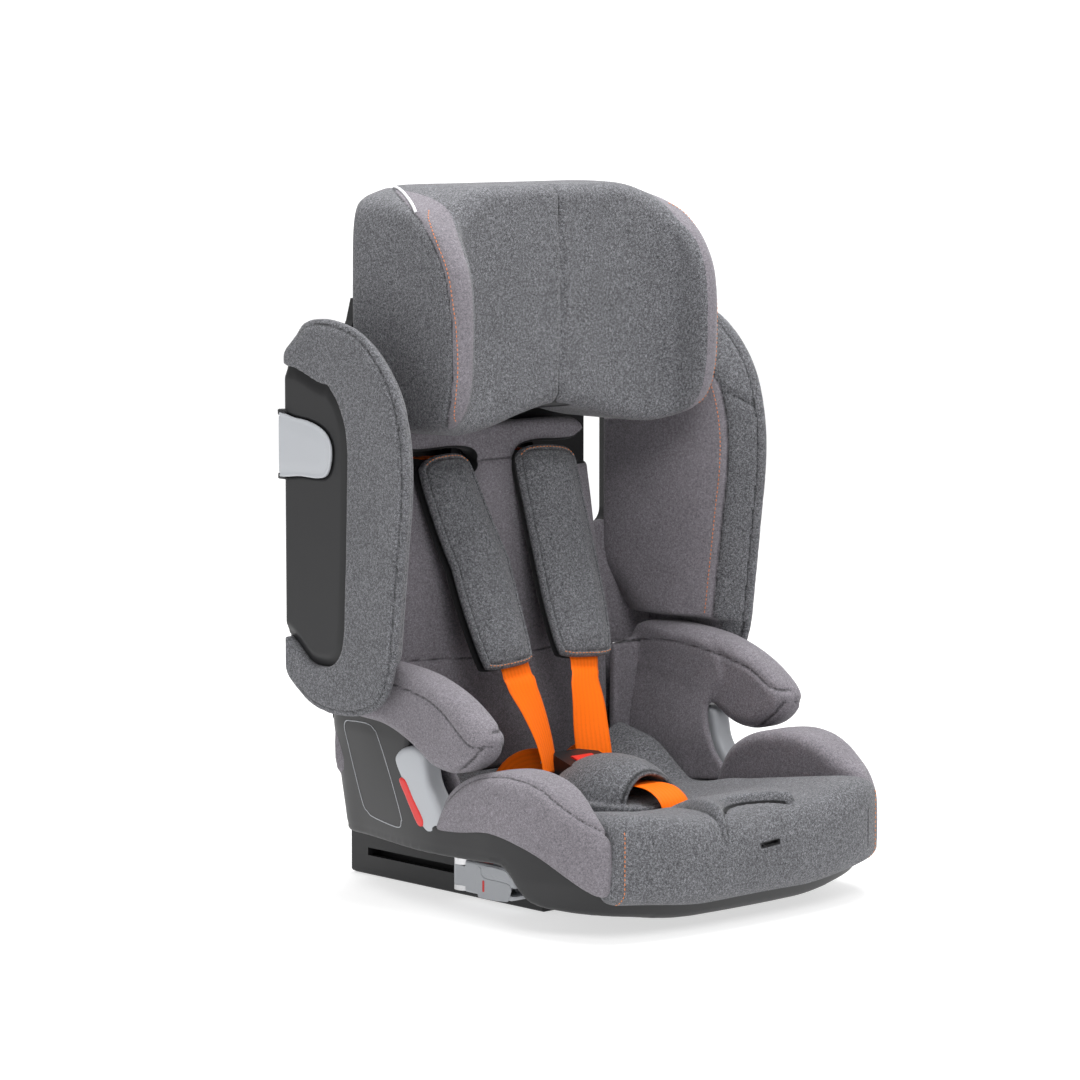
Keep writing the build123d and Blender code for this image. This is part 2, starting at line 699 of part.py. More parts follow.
def make_crotch_strap():
    """The crotch strap, from the buckle to its slot in the cushion."""
    front, rear = CROTCH_SLOT_Y - 1.2, CROTCH_SLOT_Y + 1.2
    side = [(-163, 107.4), (front, 107.4), (front, 56), (rear, 56), (rear, 105), (-163, 105)]
    return side_prism(side, -STRAP_W / 2, STRAP_W / 2)


def make_adjuster_housing():
    """The box in the seat's nose that clamps the harness adjuster strap."""
    with BuildPart() as housing:
        with Locations((0, ADJUSTER_Y, 68)):
            Box(60, 52, 48)
        with Locations((0, ADJUSTER_Y, 74)):
            Box(50, 42, 48, mode=Mode.SUBTRACT)
    return housing.part


def make_adjuster_button():
    """The sprung button that frees the adjuster strap."""
    with BuildPart() as button:
        with Locations((0, ADJUSTER_Y, 84)):
            Box(40, 34, 12)
        fillet(button.edges().group_by(Axis.Z)[-1], radius=3)
    return button.part


def make_adjuster_flap():
    """The fabric flap that covers the adjuster."""
    side = [(-318, 108.6), (-345, 112.6), (-374, 104.6), (-374, 108.6), (-345, 116.6), (-318, 112.6)]
    return side_prism(side, -40, 40)


# ---------------------------------------------------------------- headrest
HEAD_PLAN = [
    (0, HEAD_REAR_Y), (-150, HEAD_REAR_Y), (-172, 24), (-185, 6), (-183, -70), (-178, -126), (-168, -135),
    (-160, -130), (-155, -112), (-138, -91), (0, HEAD_FRONT_Y),
]


def make_headrest_pad():
    """The padded, winged headrest cover, hollow at the back for its foam."""
    side = [
        (30, 470), (30, 690), (14, HEAD_TOP_Z), (-70, 702), (-98, 672), (-126, 625), (-137, 580), (-135, 534),
        (-128, 505), (-110, 479), (-76, HEAD_LOW_Z), (0, HEAD_LOW_Z),
    ]
    with BuildPart() as pad:
        add(side_prism(side, -200, 200))
        add(plan_prism(both_halves(HEAD_PLAN), 440, 720), mode=Mode.INTERSECT)
        with Locations(HEAD_FOAM_AT):
            Box(*HEAD_FOAM_SIZE, mode=Mode.SUBTRACT)
        # the middle of the lower edge is higher than the wings
        with Locations((0, 0, 462)):
            Box(240, 260, 36, mode=Mode.SUBTRACT)
    return pad.part


def make_headrest_foam():
    """The shock-absorbing foam block in the headrest."""
    with BuildPart() as foam:
        with Locations(HEAD_FOAM_AT):
            Box(*HEAD_FOAM_SIZE)
    return foam.part


def make_headrest_shell():
    """The headrest's plastic back."""
    with BuildPart() as shell:
        with BuildSketch(Plane.XZ.offset(-STEM_Y[0] + 0.6)):
            with Locations((0, 586)):
                RectangleRounded(292, 212, 30)
        extrude(amount=STEM_Y[0] - 0.6 - HEAD_REAR_Y - GAP)
        # hole for the lock pin
        with Locations(Location((0, 34, LOCK_Z), (90, 0, 0))):
            Cylinder(radius=4, height=20, mode=Mode.SUBTRACT)
    return shell.part


def make_headrest_stem():
    """The flat steel stem that slides between the guides."""
    with BuildPart() as stem:
        with BuildSketch(Plane.XZ.offset(-STEM_Y[1])):
            with Locations((0, 455)):
                RectangleRounded(2 * STEM_HALF, 250, 8)
        extrude(amount=STEM_Y[1] - STEM_Y[0])
        with Locations(Location((0, 41, LOCK_Z), (90, 0, 0))):
            Cylinder(radius=4, height=20, mode=Mode.SUBTRACT)
    return stem.part


def make_lock_pin():
    """The pin that drops into the height rack; it is drawn just clear of the rack's face."""
    with BuildPart() as pin:
        with Locations(Location((0, 39.4, LOCK_Z), (90, 0, 0))):
            Cylinder(radius=3.5, height=10)
    return pin.part


def make_height_lever():
    """The wide grip behind the headrest's top that frees the lock."""
    with BuildPart() as lever:
        with BuildSketch(Plane.XZ.offset(-60)):
            with Locations((0, 689)):
                RectangleRounded(220, 16, 7)
        extrude(amount=22)
        with BuildSketch(Plane.XZ.offset(-39)):
            with Locations((-96, 658), (96, 658)):
                Rectangle(18, 60)
        extrude(amount=4.4)
    return lever.part


# ---------------------------------------------------------------- fasteners
def make_base_screws():
    """The screws that hold the bottom cover, as one group of separate solids."""
    screws = []
    for x in (-84, 84):
        for y in (-150, -60, 40):
            with BuildPart() as screw:
                with Locations((x, y, WALL + 4)):
                    Cylinder(radius=4, height=3)
                with Locations((x, y, WALL + 12)):
                    Cylinder(radius=2, height=14)
            screws += screw.part.solids()
    return screws


# ---------------------------------------------------------------- run
def main():
    upright = make_arm_upright()
    shell = make_base_shell()
    save(shell, "base_shell")
    save(make_bottom_cover(), "base_bottom_cover")
    save_group(make_base_screws(), "base_screws")
    save_pair(upright, "arm_upright")
    save_pair(make_armrest_pad(upright), "armrest_pad")
    save_pair(make_belt_guide(upright, shell), "belt_guide")
    save(make_seat_cushion(), "seat_cushion")
    save_pair(make_side_bolster(), "side_bolster")
    save_group(both_sides(make_hinge_bracket()), "hinge_brackets")
    save_group(both_sides(make_hinge_pin()), "hinge_pins")

    save_pair(make_rail_housing(), "rail_housing")
    save_group(both_sides(make_rail_end_cap()), "rail_end_caps")
    save_pair(make_carriage(), "isofix_carriage")
    save_pair(make_pivot_pin(), "isofix_pivot_pin")
    save_pair(make_connector(), "isofix_connector")
    save_pair(make_jaw(), "isofix_jaw")
    save_pair(make_connector_button(), "isofix_button")

    save(make_backrest_shell(), "backrest_shell")
    save(make_rear_cover(), "rear_cover")
    save(make_strap_yoke(), "strap_yoke")
    save_group(both_sides(make_stem_guide()), "stem_guides")
    save(make_lock_rack(), "lock_rack")
    save(make_back_pad(), "back_pad")
    save_pair(make_wing_pad(), "wing_pad")
    save_group(both_sides(make_wing_foam()), "wing_foams")
    save_pair(make_wing_panel(), "wing_panel")
    save_group(both_sides(make_flap_pin()), "flap_pins")
    save_pair(make_side_flap(), "side_flap")

    strap = make_shoulder_strap()
    save_pair(make_shoulder_pad(), "shoulder_pad")
    save_group(strap + [mirror(solid, about=Plane.YZ) for solid in strap], "shoulder_straps")
    save_group(both_sides(make_lap_strap()), "lap_straps")
    save_group(both_sides(make_buckle_tongue()), "buckle_tongues")
    save(make_buckle_body(), "buckle_body")
    save(make_buckle_button(), "buckle_button")
    save(make_crotch_pad(), "crotch_pad")
    save(make_crotch_strap(), "crotch_strap")
    save(make_adjuster_housing(), "adjuster_housing")
    save(make_adjuster_button(), "adjuster_button")
    save(make_adjuster_flap(), "adjuster_flap")

    save(make_headrest_shell(), "headrest_shell")
    save(make_headrest_foam(), "headrest_foam")
    save(make_headrest_pad(), "headrest_pad")
    save(make_headrest_stem(), "headrest_stem")
    save(make_lock_pin(), "lock_pin")
    save(make_height_lever(), "height_lever")


main()
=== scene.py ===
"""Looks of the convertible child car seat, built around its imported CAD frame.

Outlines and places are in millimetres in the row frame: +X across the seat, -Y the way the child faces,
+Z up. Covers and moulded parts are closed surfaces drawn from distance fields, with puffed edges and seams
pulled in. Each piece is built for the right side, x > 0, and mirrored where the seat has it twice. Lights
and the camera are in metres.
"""

import json
import math

import bmesh
import bpy
import numpy as np
from mathutils import Matrix, Vector
from mathutils.bvhtree import BVHTree


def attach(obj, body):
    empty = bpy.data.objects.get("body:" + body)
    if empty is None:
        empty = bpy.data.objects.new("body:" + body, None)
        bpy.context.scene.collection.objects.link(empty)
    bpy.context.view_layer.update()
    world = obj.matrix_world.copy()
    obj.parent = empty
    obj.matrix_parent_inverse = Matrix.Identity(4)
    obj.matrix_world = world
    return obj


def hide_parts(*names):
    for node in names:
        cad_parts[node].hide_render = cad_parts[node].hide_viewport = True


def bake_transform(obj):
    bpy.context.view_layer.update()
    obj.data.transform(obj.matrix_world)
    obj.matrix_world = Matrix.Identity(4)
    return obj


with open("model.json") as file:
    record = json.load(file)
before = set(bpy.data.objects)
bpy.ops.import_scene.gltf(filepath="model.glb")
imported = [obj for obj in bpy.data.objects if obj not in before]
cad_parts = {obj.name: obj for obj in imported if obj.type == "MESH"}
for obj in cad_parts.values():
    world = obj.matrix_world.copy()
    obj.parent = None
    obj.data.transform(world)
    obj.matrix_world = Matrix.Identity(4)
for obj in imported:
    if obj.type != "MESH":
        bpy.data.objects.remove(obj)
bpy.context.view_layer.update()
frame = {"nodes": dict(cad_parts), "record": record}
MM = 0.001
LEFT, RIGHT = "left", "right"
FAR = 60  # added to a distance where a seam is not wanted


# ------------------------------------------------------------------ distance fields
def bend(a, b, c, d, per):
    """Places on the smooth curve from b towards c, with a before them and d after them."""
    t = np.linspace(0, 1, per, endpoint=False)[:, None]
    square, cube = 2 * a - 5 * b + 4 * c - d, 3 * b - a - 3 * c + d
    return 0.5 * (2 * b + (c - a) * t + square * t**2 + cube * t**3)


def loop(points, per=8):
    """A closed smooth outline through points, as an array."""
    p = np.array(points, float)
    n = len(p)
    return np.concatenate([bend(p[i - 1], p[i], p[(i + 1) % n], p[(i + 2) % n], per) for i in range(n)])


def path(points, per=8):
    """An open smooth line through points, as an array."""
    p = np.array(points, float)
    p = np.concatenate([[2 * p[0] - p[1]], p, [2 * p[-1] - p[-2]]])
    return np.concatenate([bend(*p[i - 1 : i + 3], per) for i in range(1, len(p) - 2)] + [p[-2:-1]])


def mirrored(points):
    """A half outline that starts and ends on the mirror line, with its other half."""
    return points + [(-x, y) for x, y in reversed(points[1:-1])]


def line_distance(u, v, points):
    """Distance from (u, v) to an open line of points."""
    best = np.inf
    for (au, av), (bu, bv) in zip(points[:-1], points[1:]):
        eu, ev = bu - au, bv - av
        t = np.clip(((u - au) * eu + (v - av) * ev) / (eu * eu + ev * ev + 1e-12), 0, 1)
        best = np.minimum(best, (u - au - t * eu) ** 2 + (v - av - t * ev) ** 2)
    return np.sqrt(best)


def outline(u, v, polygon):
    """Distance from (u, v) to a closed polygon, negative inside."""
    odd = False
    for (au, av), (bu, bv) in zip(polygon, np.roll(polygon, -1, 0)):
        if bv != av:
            odd = odd ^ (((av > v) != (bv > v)) & (u < (bu - au) * (v - av) / (bv - av) + au))
    return np.where(odd, -1, 1) * line_distance(u, v, np.concatenate([polygon, polygon[:1]]))


def span(u, low, high):
    """Distance to the slab between low and high, negative inside."""
    return np.maximum(low - u, u - high)


def meet(radius, *fields):
    """The space inside every field, with its edges rounded."""
    over = [f + radius for f in fields]
    out = np.sqrt(sum(np.maximum(f, 0) ** 2 for f in over))
    deepest = over[0]
    for f in over[1:]:
        deepest = np.maximum(deepest, f)
    return out + np.minimum(deepest, 0) - radius


def soft_min(k, a, b):
    """The union of two fields, with a fillet about k wide."""
    h = np.maximum(k - np.abs(a - b), 0) / k
    return np.minimum(a, b) - h * h * k / 4


def soft_max(k, a, b):
    return -soft_min(k, -a, -b)


def groove(distance, depth, width):
    """How much a seam at that distance pulls the surface in."""
    return depth * np.exp(-((distance / width) ** 2))


def ramp(u, low, high):
    """0 below low, 1 above high, and smooth between them."""
    t = np.clip((u - low) / (high - low), 0, 1)
    return t * t * (3 - 2 * t)


# ------------------------------------------------------------------ meshes from fields
def surface(field, low, high, step):
    """The closed quad surface where field(x, y, z) is 0, as points and faces, in millimetres."""
    low = np.array(low, float)
    count = np.ceil((np.array(high) - low) / step).astype(int) + 1
    axes = [low[i] + step * np.arange(count[i]) for i in range(3)]
    x, y, z = axes[0][:, None, None], axes[1][None, :, None], axes[2][None, None, :]
    f = np.broadcast_to(field(x, y, z), tuple(count)).astype(float)
    cells = count - 1
    edge_cells, edge_points, quads = [], [], []
    for axis in range(3):
        first = [slice(None)] * 3
        second = [slice(None)] * 3
        first[axis], second[axis] = slice(0, -1), slice(1, None)
        a, b = f[tuple(first)], f[tuple(second)]
        at = np.argwhere((a < 0) != (b < 0))
        va, vb = a[tuple(at.T)], b[tuple(at.T)]
        point = at.astype(float)
        point[:, axis] += va / (va - vb)
        u, v = (axis + 1) % 3, (axis + 2) % 3
        ring = []
        for du, dv in ((0, 0), (-1, 0), (-1, -1), (0, -1)):
            cell = at.copy()
            cell[:, u] += du
            cell[:, v] += dv
            flat = (cell[:, 0] * cells[1] + cell[:, 1]) * cells[2] + cell[:, 2]
            ring.append(flat)
            edge_cells.append(flat)
            edge_points.append(point)
        quad = np.stack(ring, 1)
        quad[va > 0] = quad[va > 0][:, ::-1]
        quads.append(quad)
    ids, inverse = np.unique(np.concatenate(edge_cells), return_inverse=True)
    total = np.zeros((len(ids), 3))
    np.add.at(total, inverse, np.concatenate(edge_points))
    points = low + step * total / np.bincount(inverse)[:, None]
    faces = np.searchsorted(ids, np.concatenate(quads))
    for _ in range(3):
        value = field(*points.T)
        slope = np.stack([field(*(points + 0.2 * np.eye(3)[i]).T) - value for i in range(3)], 1) / 0.2
        steepness = np.maximum((slope**2).sum(1), 0.25)[:, None]
        points -= np.clip(value, -step, step)[:, None] * slope / steepness
    return points, faces


def mesh_object(name, points, faces, smooth=True):
    """A new object from points in millimetres."""
    mesh = bpy.data.meshes.new(name)
    mesh.from_pydata((np.asarray(points) * MM).tolist(), [], [list(map(int, f)) for f in faces])
    mesh.update()
    mesh.polygons.foreach_set("use_smooth", [smooth] * len(mesh.polygons))
    o = bpy.data.objects.new(name, mesh)
    bpy.context.scene.collection.objects.link(o)
    return o


def points_of(o):
    """An object's vertices in millimetres."""
    co = np.zeros(len(o.data.vertices) * 3)
    o.data.vertices.foreach_get("co", co)
    return co.reshape(-1, 3) / MM


def set_points(o, points):
    o.data.vertices.foreach_set("co", (points * MM).ravel())
    o.data.update()


def paint(o, name, values):
    """Stores one number per vertex, which the materials read."""
    attribute = o.data.attributes.get(name) or o.data.attributes.new(name, "FLOAT", "POINT")
    attribute.data.foreach_set("value", np.asarray(values, np.float32))


def mirror_piece(o, name):
    """The same piece on the other side of the seat."""
    mesh = o.data.copy()
    mesh.transform(Matrix.Scale(-1, 4, (1, 0, 0)))
    mesh.flip_normals()
    twin = bpy.data.objects.new(name, mesh)
    bpy.context.scene.collection.objects.link(twin)
    return twin


def nearest(o):
    """A search tree over an object's surface, in metres."""
    points = [v.co for v in o.data.vertices]
    return BVHTree.FromPolygons(points, [p.vertices[:] for p in o.data.polygons])


def cast(o, origins, direction):
    """Where rays from each origin first meet the object, as points and outward normals, in millimetres."""
    tree, found = nearest(o), []
    for origin in origins:
        place, normal, _, _ = tree.ray_cast(Vector(origin) * MM, Vector(direction))
        if place:
            normal = -normal if normal.dot(Vector(direction)) > 0 else normal
            found.append((np.array(place) / MM, np.array(normal)))
    return found


def stitches(name, found, finish, pitch=4.4, length=2.6, radius=0.42):
    """A row of separate thread stitches along surface points."""
    points = np.array([p + 0.25 * n for p, n in found])
    steps = np.linalg.norm(np.diff(points, axis=0), axis=1)
    run = np.concatenate([[0], np.cumsum(steps)])
    verts, faces = [], []
    for start in np.arange(0, run[-1] - length, pitch):
        a = np.array([np.interp(start, run, points[:, i]) for i in range(3)])
        b = np.array([np.interp(start + length, run, points[:, i]) for i in range(3)])
        tangent = (b - a) / np.linalg.norm(b - a)
        side = np.cross(tangent, found[int(np.searchsorted(run, start))][1])
        side = side / (np.linalg.norm(side) + 1e-9)
        up = np.cross(side, tangent)
        base = len(verts)
        for at, scale in ((a, 0.4), (a + 0.4 * tangent, 1), (b - 0.4 * tangent, 1), (b, 0.4)):
            for k in range(6):
                angle = k * math.pi / 3
                verts.append(at + radius * scale * (math.cos(angle) * side + math.sin(angle) * up))
        for ring in range(3):
            for k in range(6):
                first, second = base + ring * 6 + k, base + ring * 6 + (k + 1) % 6
                faces.append((first, second, second + 6, first + 6))
        faces.append(tuple(base + k for k in reversed(range(6))))
        faces.append(tuple(base + 18 + k for k in range(6)))
    o = mesh_object(name, verts, faces)
    o.data.materials.append(finish)
    return o


def tube(name, points, radius, finish, closed=False):
    """A round cord along points."""
    curve = bpy.data.curves.new(name, "CURVE")
    curve.dimensions = "3D"
    curve.bevel_depth = radius * MM
    curve.bevel_resolution = 2
    curve.use_fill_caps = True
    line = curve.splines.new("POLY")
    line.points.add(len(points) - 1)
    line.points.foreach_set("co", [c for p in points for c in (*(np.asarray(p) * MM), 1)])
    line.use_cyclic_u = closed
    made = bpy.data.objects.new(name, curve)
    mesh = bpy.data.meshes.new_from_object(made)
    bpy.data.objects.remove(made)
    mesh.polygons.foreach_set("use_smooth", [True] * len(mesh.polygons))
    o = bpy.data.objects.new(name, mesh)
    bpy.context.scene.collection.objects.link(o)
    o.data.materials.append(finish)
    return o


def ribbon(name, centres, sides, finish, width=38, thickness=1.6, across=12):
    """Flat webbing along centres, each station's width lying along its side vector."""
    centres, sides = np.asarray(centres, float), np.asarray(sides, float)
    run = np.concatenate([[0], np.cumsum(np.linalg.norm(np.diff(centres, axis=0), axis=1))])
    tangents = np.gradient(centres, axis=0)
    tangents /= np.linalg.norm(tangents, axis=1)[:, None]
    sides = sides - (sides * tangents).sum(1)[:, None] * tangents
    sides /= np.linalg.norm(sides, axis=1)[:, None]
    normals = np.cross(tangents, sides)
    u = np.linspace(-1, 1, across)
    edge = np.sqrt(np.clip(1 - np.abs(u) ** 10, 0.05, 1))
    ring = [(w * width / 2, h * thickness / 2) for w, h in zip(u, edge)]
    ring += [(w * width / 2, -h * thickness / 2) for w, h in reversed(list(zip(u, edge)))]
    count = len(ring)
    verts, over, along, faces = [], [], [], []
    for c, s, n, r in zip(centres, sides, normals, run):
        for w, h in ring:
            verts.append(c + w * s + h * n)
            over.append(w)
            along.append(r)
    for i in range(len(centres) - 1):
        for k in range(count):
            a, b = i * count + k, i * count + (k + 1) % count
            faces.append((a, b, b + count, a + count))
    faces.append(tuple(reversed(range(count))))
    faces.append(tuple(range(len(verts) - count, len(verts))))
    o = mesh_object(name, verts, faces)
    paint(o, "across", over)
    paint(o, "along", along)
    o.data.materials.append(finish)
    recalculate(o)
    return o


def recalculate(o):
    """Makes every face point outward."""
    bm = bmesh.new()
    bm.from_mesh(o.data)
    bmesh.ops.recalc_face_normals(bm, faces=bm.faces)
    bm.to_mesh(o.data)
    bm.free()


# ------------------------------------------------------------------ materials
class Nodes:
    """A material's node graph, built up one node at a time."""

    def __init__(self, name):
        self.material = bpy.data.materials.new(name)
        self.material.use_nodes = True
        self.tree = self.material.node_tree
        self.shader = self.tree.nodes["Principled BSDF"]
        coordinates = self.tree.nodes.new("ShaderNodeTexCoord")
        self.place = coordinates.outputs["Object"]

    def link(self, a, b):
        self.tree.links.new(a, b)

    def noise(self, scale, detail=2.0, roughness=0.6, stretch=None):
        node = self.tree.nodes.new("ShaderNodeTexNoise")
        node.inputs["Scale"].default_value = scale
        node.inputs["Detail"].default_value = detail
        node.inputs["Roughness"].default_value = roughness
        place = self.place
        if stretch:
            mapping = self.tree.nodes.new("ShaderNodeMapping")
            mapping.inputs["Scale"].default_value = stretch
            self.link(place, mapping.inputs["Vector"])
            place = mapping.outputs["Vector"]
        self.link(place, node.inputs["Vector"])
        return node.outputs["Fac"]

    def mark(self, name):
        node = self.tree.nodes.new("ShaderNodeAttribute")
        node.attribute_name = name
        return node.outputs["Fac"]

    def math(self, operation, a, b=0.0, c=0.0):
        node = self.tree.nodes.new("ShaderNodeMath")
        node.operation = operation
        for socket, value in zip(node.inputs, (a, b, c)):
            if hasattr(value, "is_linked"):
                self.link(value, socket)
            else:
                socket.default_value = value
        return node.outputs[0]

    def rescale(self, value, low, high, to_low=0.0, to_high=1.0):
        node = self.tree.nodes.new("ShaderNodeMapRange")
        node.clamp = True
        self.link(value, node.inputs[0])
        for socket, number in zip(list(node.inputs)[1:5], (low, high, to_low, to_high)):
            socket.default_value = number
        return node.outputs[0]

    def ramp(self, value, stops):
        node = self.tree.nodes.new("ShaderNodeValToRGB")
        elements = node.color_ramp.elements
        while len(elements) < len(stops):
            elements.new(0.5)
        for element, (at, colour) in zip(elements, stops):
            element.position = at
            element.color = (*colour, 1)
        self.link(value, node.inputs[0])
        return node.outputs[0]

    def mix(self, factor, a, b, kind="MIX"):
        node = self.tree.nodes.new("ShaderNodeMix")
        node.data_type = "RGBA"
        node.blend_type = kind
        for socket, value in ((node.inputs[0], factor), (node.inputs[6], a), (node.inputs[7], b)):
            if hasattr(value, "is_linked"):
                self.link(value, socket)
            else:
                socket.default_value = value if isinstance(value, float) else (*value, 1)
        return node.outputs[2]

    def bump(self, height, strength, distance):
        node = self.tree.nodes.new("ShaderNodeBump")
        node.inputs["Strength"].default_value = strength
        node.inputs["Distance"].default_value = distance * MM
        self.link(height, node.inputs["Height"])
        self.link(node.outputs[0], self.shader.inputs["Normal"])

    def finish(self, colour, roughness, **uniform):
        if hasattr(colour, "is_linked"):
            self.link(colour, self.shader.inputs["Base Color"])
        else:
            self.shader.inputs["Base Color"].default_value = (*colour, 1)
        self.shader.inputs["Roughness"].default_value = roughness
        for name, value in uniform.items():
            self.shader.inputs[name.replace("_", " ")].default_value = value
        return self.material


def tones(colour, low, high):
    return [tuple(c * k for c in colour) for k in (low, 1, high)]


DARK_TONES = tones((0.102, 0.103, 0.111), 0.26, 2.9)
MAUVE_TONES = tones((0.176, 0.164, 0.182), 0.55, 1.7)
STOPS = (0.36, 0.5, 0.67)


def heather(name, lining_and_painted_shade=(0.006, 0.006, 0.007)):
    """Melange knit: dark grey, mauve where the zone mark is above 0, and near-black painted shade where the
    shade mark is above 0.
    """
    n = Nodes(name)
    fine = n.noise(1150, 2.5, 0.75)
    coarse = n.noise(430, 1.5, 0.5)
    grain = n.math("ADD", n.math("MULTIPLY", fine, 0.72), n.math("MULTIPLY", coarse, 0.28))
    dark = n.ramp(grain, list(zip(STOPS, DARK_TONES)))
    mauve = n.ramp(grain, list(zip(STOPS, MAUVE_TONES)))
    colour = n.mix(n.rescale(n.mark("zone"), -0.35, 0.35), dark, mauve)
    cloud = n.rescale(n.noise(14, 2.0), 0.35, 0.65, 0.94, 1.05)
    shade = n.math("MULTIPLY", cloud, n.rescale(n.mark("seam"), 0.2, 1.7, 0.22, 1.0))
    shades = n.tree.nodes.new("ShaderNodeCombineColor")
    for socket in list(shades.inputs)[:3]:
        n.link(shade, socket)
    colour = n.mix(1.0, colour, shades.outputs[0], "MULTIPLY")
    # painted shade: near-black in the back pad's slot holes, the seat slit, under the seat flap's front lip
    # and under the shoulder pads
    colour = n.mix(n.rescale(n.mark("lined"), -0.3, 0.3), colour, lining_and_painted_shade)
    n.bump(grain, 0.55, 0.7)
    return n.finish(colour, 0.93, Sheen_Weight=0.12, Sheen_Roughness=0.5, Specular_IOR_Level=0.25)


def plastic(name, colour, roughness, grain=0.12, specular=0.5, scale=2200):
    """Moulded plastic with a fine spark-eroded grain."""
    n = Nodes(name)
    fine = n.noise(scale, 2.0)
    shade = n.rescale(n.noise(9, 2.0), 0.3, 0.7, 0.93, 1.07)
    tint = n.mix(shade, tuple(0.86 * c for c in colour), tuple(min(1.0, 1.14 * c) for c in colour))
    n.bump(fine, grain, 0.12)
    return n.finish(tint, roughness, Specular_IOR_Level=specular)


def webbing_material(name, colour):
    """Woven harness webbing: lengthwise ribs and fine crosswise picks, from the across and along marks."""
    n = Nodes(name)
    rib = n.math("SINE", n.math("MULTIPLY", n.mark("across"), 1.32))
    pick = n.math("SINE", n.math("MULTIPLY", n.mark("along"), 5.2))
    weave = n.math("ADD", n.math("MULTIPLY", rib, 0.32), n.math("MULTIPLY", pick, 0.22))
    speck = n.noise(700, 2.0)
    low, mid, high = tones(colour, 0.78, 1.12)
    tone = n.ramp(n.rescale(n.math("ADD", weave, speck), -0.6, 1.6), [(0.0, low), (0.5, mid), (1.0, high)])
    n.bump(weave, 0.4, 0.35)
    return n.finish(tone, 0.5, Sheen_Weight=0.02, Specular_IOR_Level=0.12)


FABRIC = heather("heather_knit")
ORANGE = webbing_material("orange_webbing", (0.95, 0.155, 0.003))
CHARCOAL = plastic("charcoal_plastic", (0.0165, 0.0165, 0.0175), 0.45, 0.12, 0.32)
BLACK = plastic("black_plastic", (0.010, 0.010, 0.011), 0.4, 0.12, 0.3)
LIGHT = plastic("light_grey_plastic", (0.37, 0.383, 0.405), 0.38, 0.05, 0.35)
RED = plastic("red_plastic", (0.56, 0.022, 0.020), 0.35, 0.05)
STEEL = plastic("zinc_plated_steel", (0.55, 0.55, 0.56), 0.28, 0.2, 0.5, 900)
STEEL.node_tree.nodes["Principled BSDF"].inputs["Metallic"].default_value = 1.0
FOAM = plastic("black_foam", (0.03, 0.03, 0.032), 0.95, 0.9, 0.1, 320)
THREAD = Nodes("orange_thread").finish((0.70, 0.22, 0.05), 0.6)
SILVER = Nodes("silver_piping").finish((0.78, 0.78, 0.80), 0.35)

SLOT_FINISH = {
    "charcoal_plastic": CHARCOAL,
    "black_plastic": BLACK,
    "light_plastic": LIGHT,
    "red_plastic": RED,
    "steel": STEEL,
    "dark_fabric": FABRIC,
    "light_fabric": FABRIC,
    "webbing": ORANGE,
    "foam": FOAM,
}


def give(o, body, slot, *nodes, fill=None):
    """Puts a finished piece on its body and hides the CAD nodes it stands for; its slot and padding are not
    used.
    """
    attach(o, body)
    if nodes:
        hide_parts(*nodes)
    return o


def give_pair(o, body, slot, *nodes, fill=None):
    """Gives a right-hand piece and its mirror image, which takes the left-hand body and CAD nodes."""
    left = [name.replace("_right", "_left") for name in (o.name, body, *nodes)]
    give(mirror_piece(o, left[0]), left[1], slot, *left[2:], fill=fill)
    give(o, body, slot, *nodes, fill=fill)


def all_mauve(x, y, z):
    """The zone mark of a piece that is mauve all over."""
    return 5 + 0 * x


def soft(name, field, low, high, step=3.0, **marks):
    """A fabric piece from a field, with its marks for the material."""
    points, faces = surface(field, low, high, step)
    o = mesh_object(name, points, faces)
    # the third mark places the near-black painted shade
    for key in ("zone", "seam", "lined"):
        default = 50.0 if key == "seam" else -50.0
        mark = marks.get(key)
        values = mark(*points.T) if mark else np.full(len(points), default)
        paint(o, key, np.broadcast_to(values, len(points)))
    o.data.materials.append(FABRIC)
    return o


def moulded(name, field, low, high, step, finish):
    """A moulded piece from a field."""
    points, faces = surface(field, low, high, step)
    o = mesh_object(name, points, faces)
    o.data.materials.append(finish)
    return o


# ------------------------------------------------------------------ headrest
HEAD_PLAN = loop(mirrored([
    (0, 29), (150, 29), (178, 25), (190, 8), (189, -25), (185, -70), (182, -110), (179, -130), (169, -140),
    (157, -134), (151, -117), (146, -102), (134, -93), (105, -88), (50, -86), (0, -85),
]))
HEAD_FRONT = loop(mirrored([
    (0, 706), (60, 706), (110, 706), (150, 704), (173, 695), (187, 674), (192, 630), (191, 545), (188, 500),
    (180, 473), (160, 461), (120, 462), (85, 467), (43, 478), (0, 485),
]))
HEAD_SIDE = loop([
    (30, 500), (30, 680), (22, 698), (2, 703), (-40, 694), (-78, 679), (-109, 656), (-129, 627),
    (-138, 598), (-140, 566), (-138, 534), (-132, 508), (-121, 487), (-102, 472), (-74, 462), (-30, 459),
    (28, 461),
])


HEAD_REGION = loop([
    (80, 740), (-8, 722), (-24, 708), (-60, 686), (-84, 668), (-104, 643), (-116, 620), (-122, 592),
    (-125, 565), (-125, 530), (-120, 502), (-112, 484), (-99, 468), (-80, 445), (80, 430),
])


def head_side(x, y, z):
    """Distance inside the wing's side outline, which the middle of the headrest does not follow."""
    return outline(y, z, HEAD_SIDE) - 42 * (1 - ramp(np.abs(x), 50, 178))


def head_middle(z):
    """Where the slightly wavy middle seam runs."""
    return 3.0 * np.sin((z - 480) / 70.0)


def head_field(x, y, z):
    plan = outline(x, y, HEAD_PLAN)
    front = outline(x, z, HEAD_FRONT)
    side = head_side(x, y, z)
    body = meet(15, plan, front, side)
    body = body + 3.2 * np.exp(-((x - head_middle(z)) / 2.6) ** 2) * (y < -40)
    return body + groove(head_band(x, y, z), 2.2, 2.4)


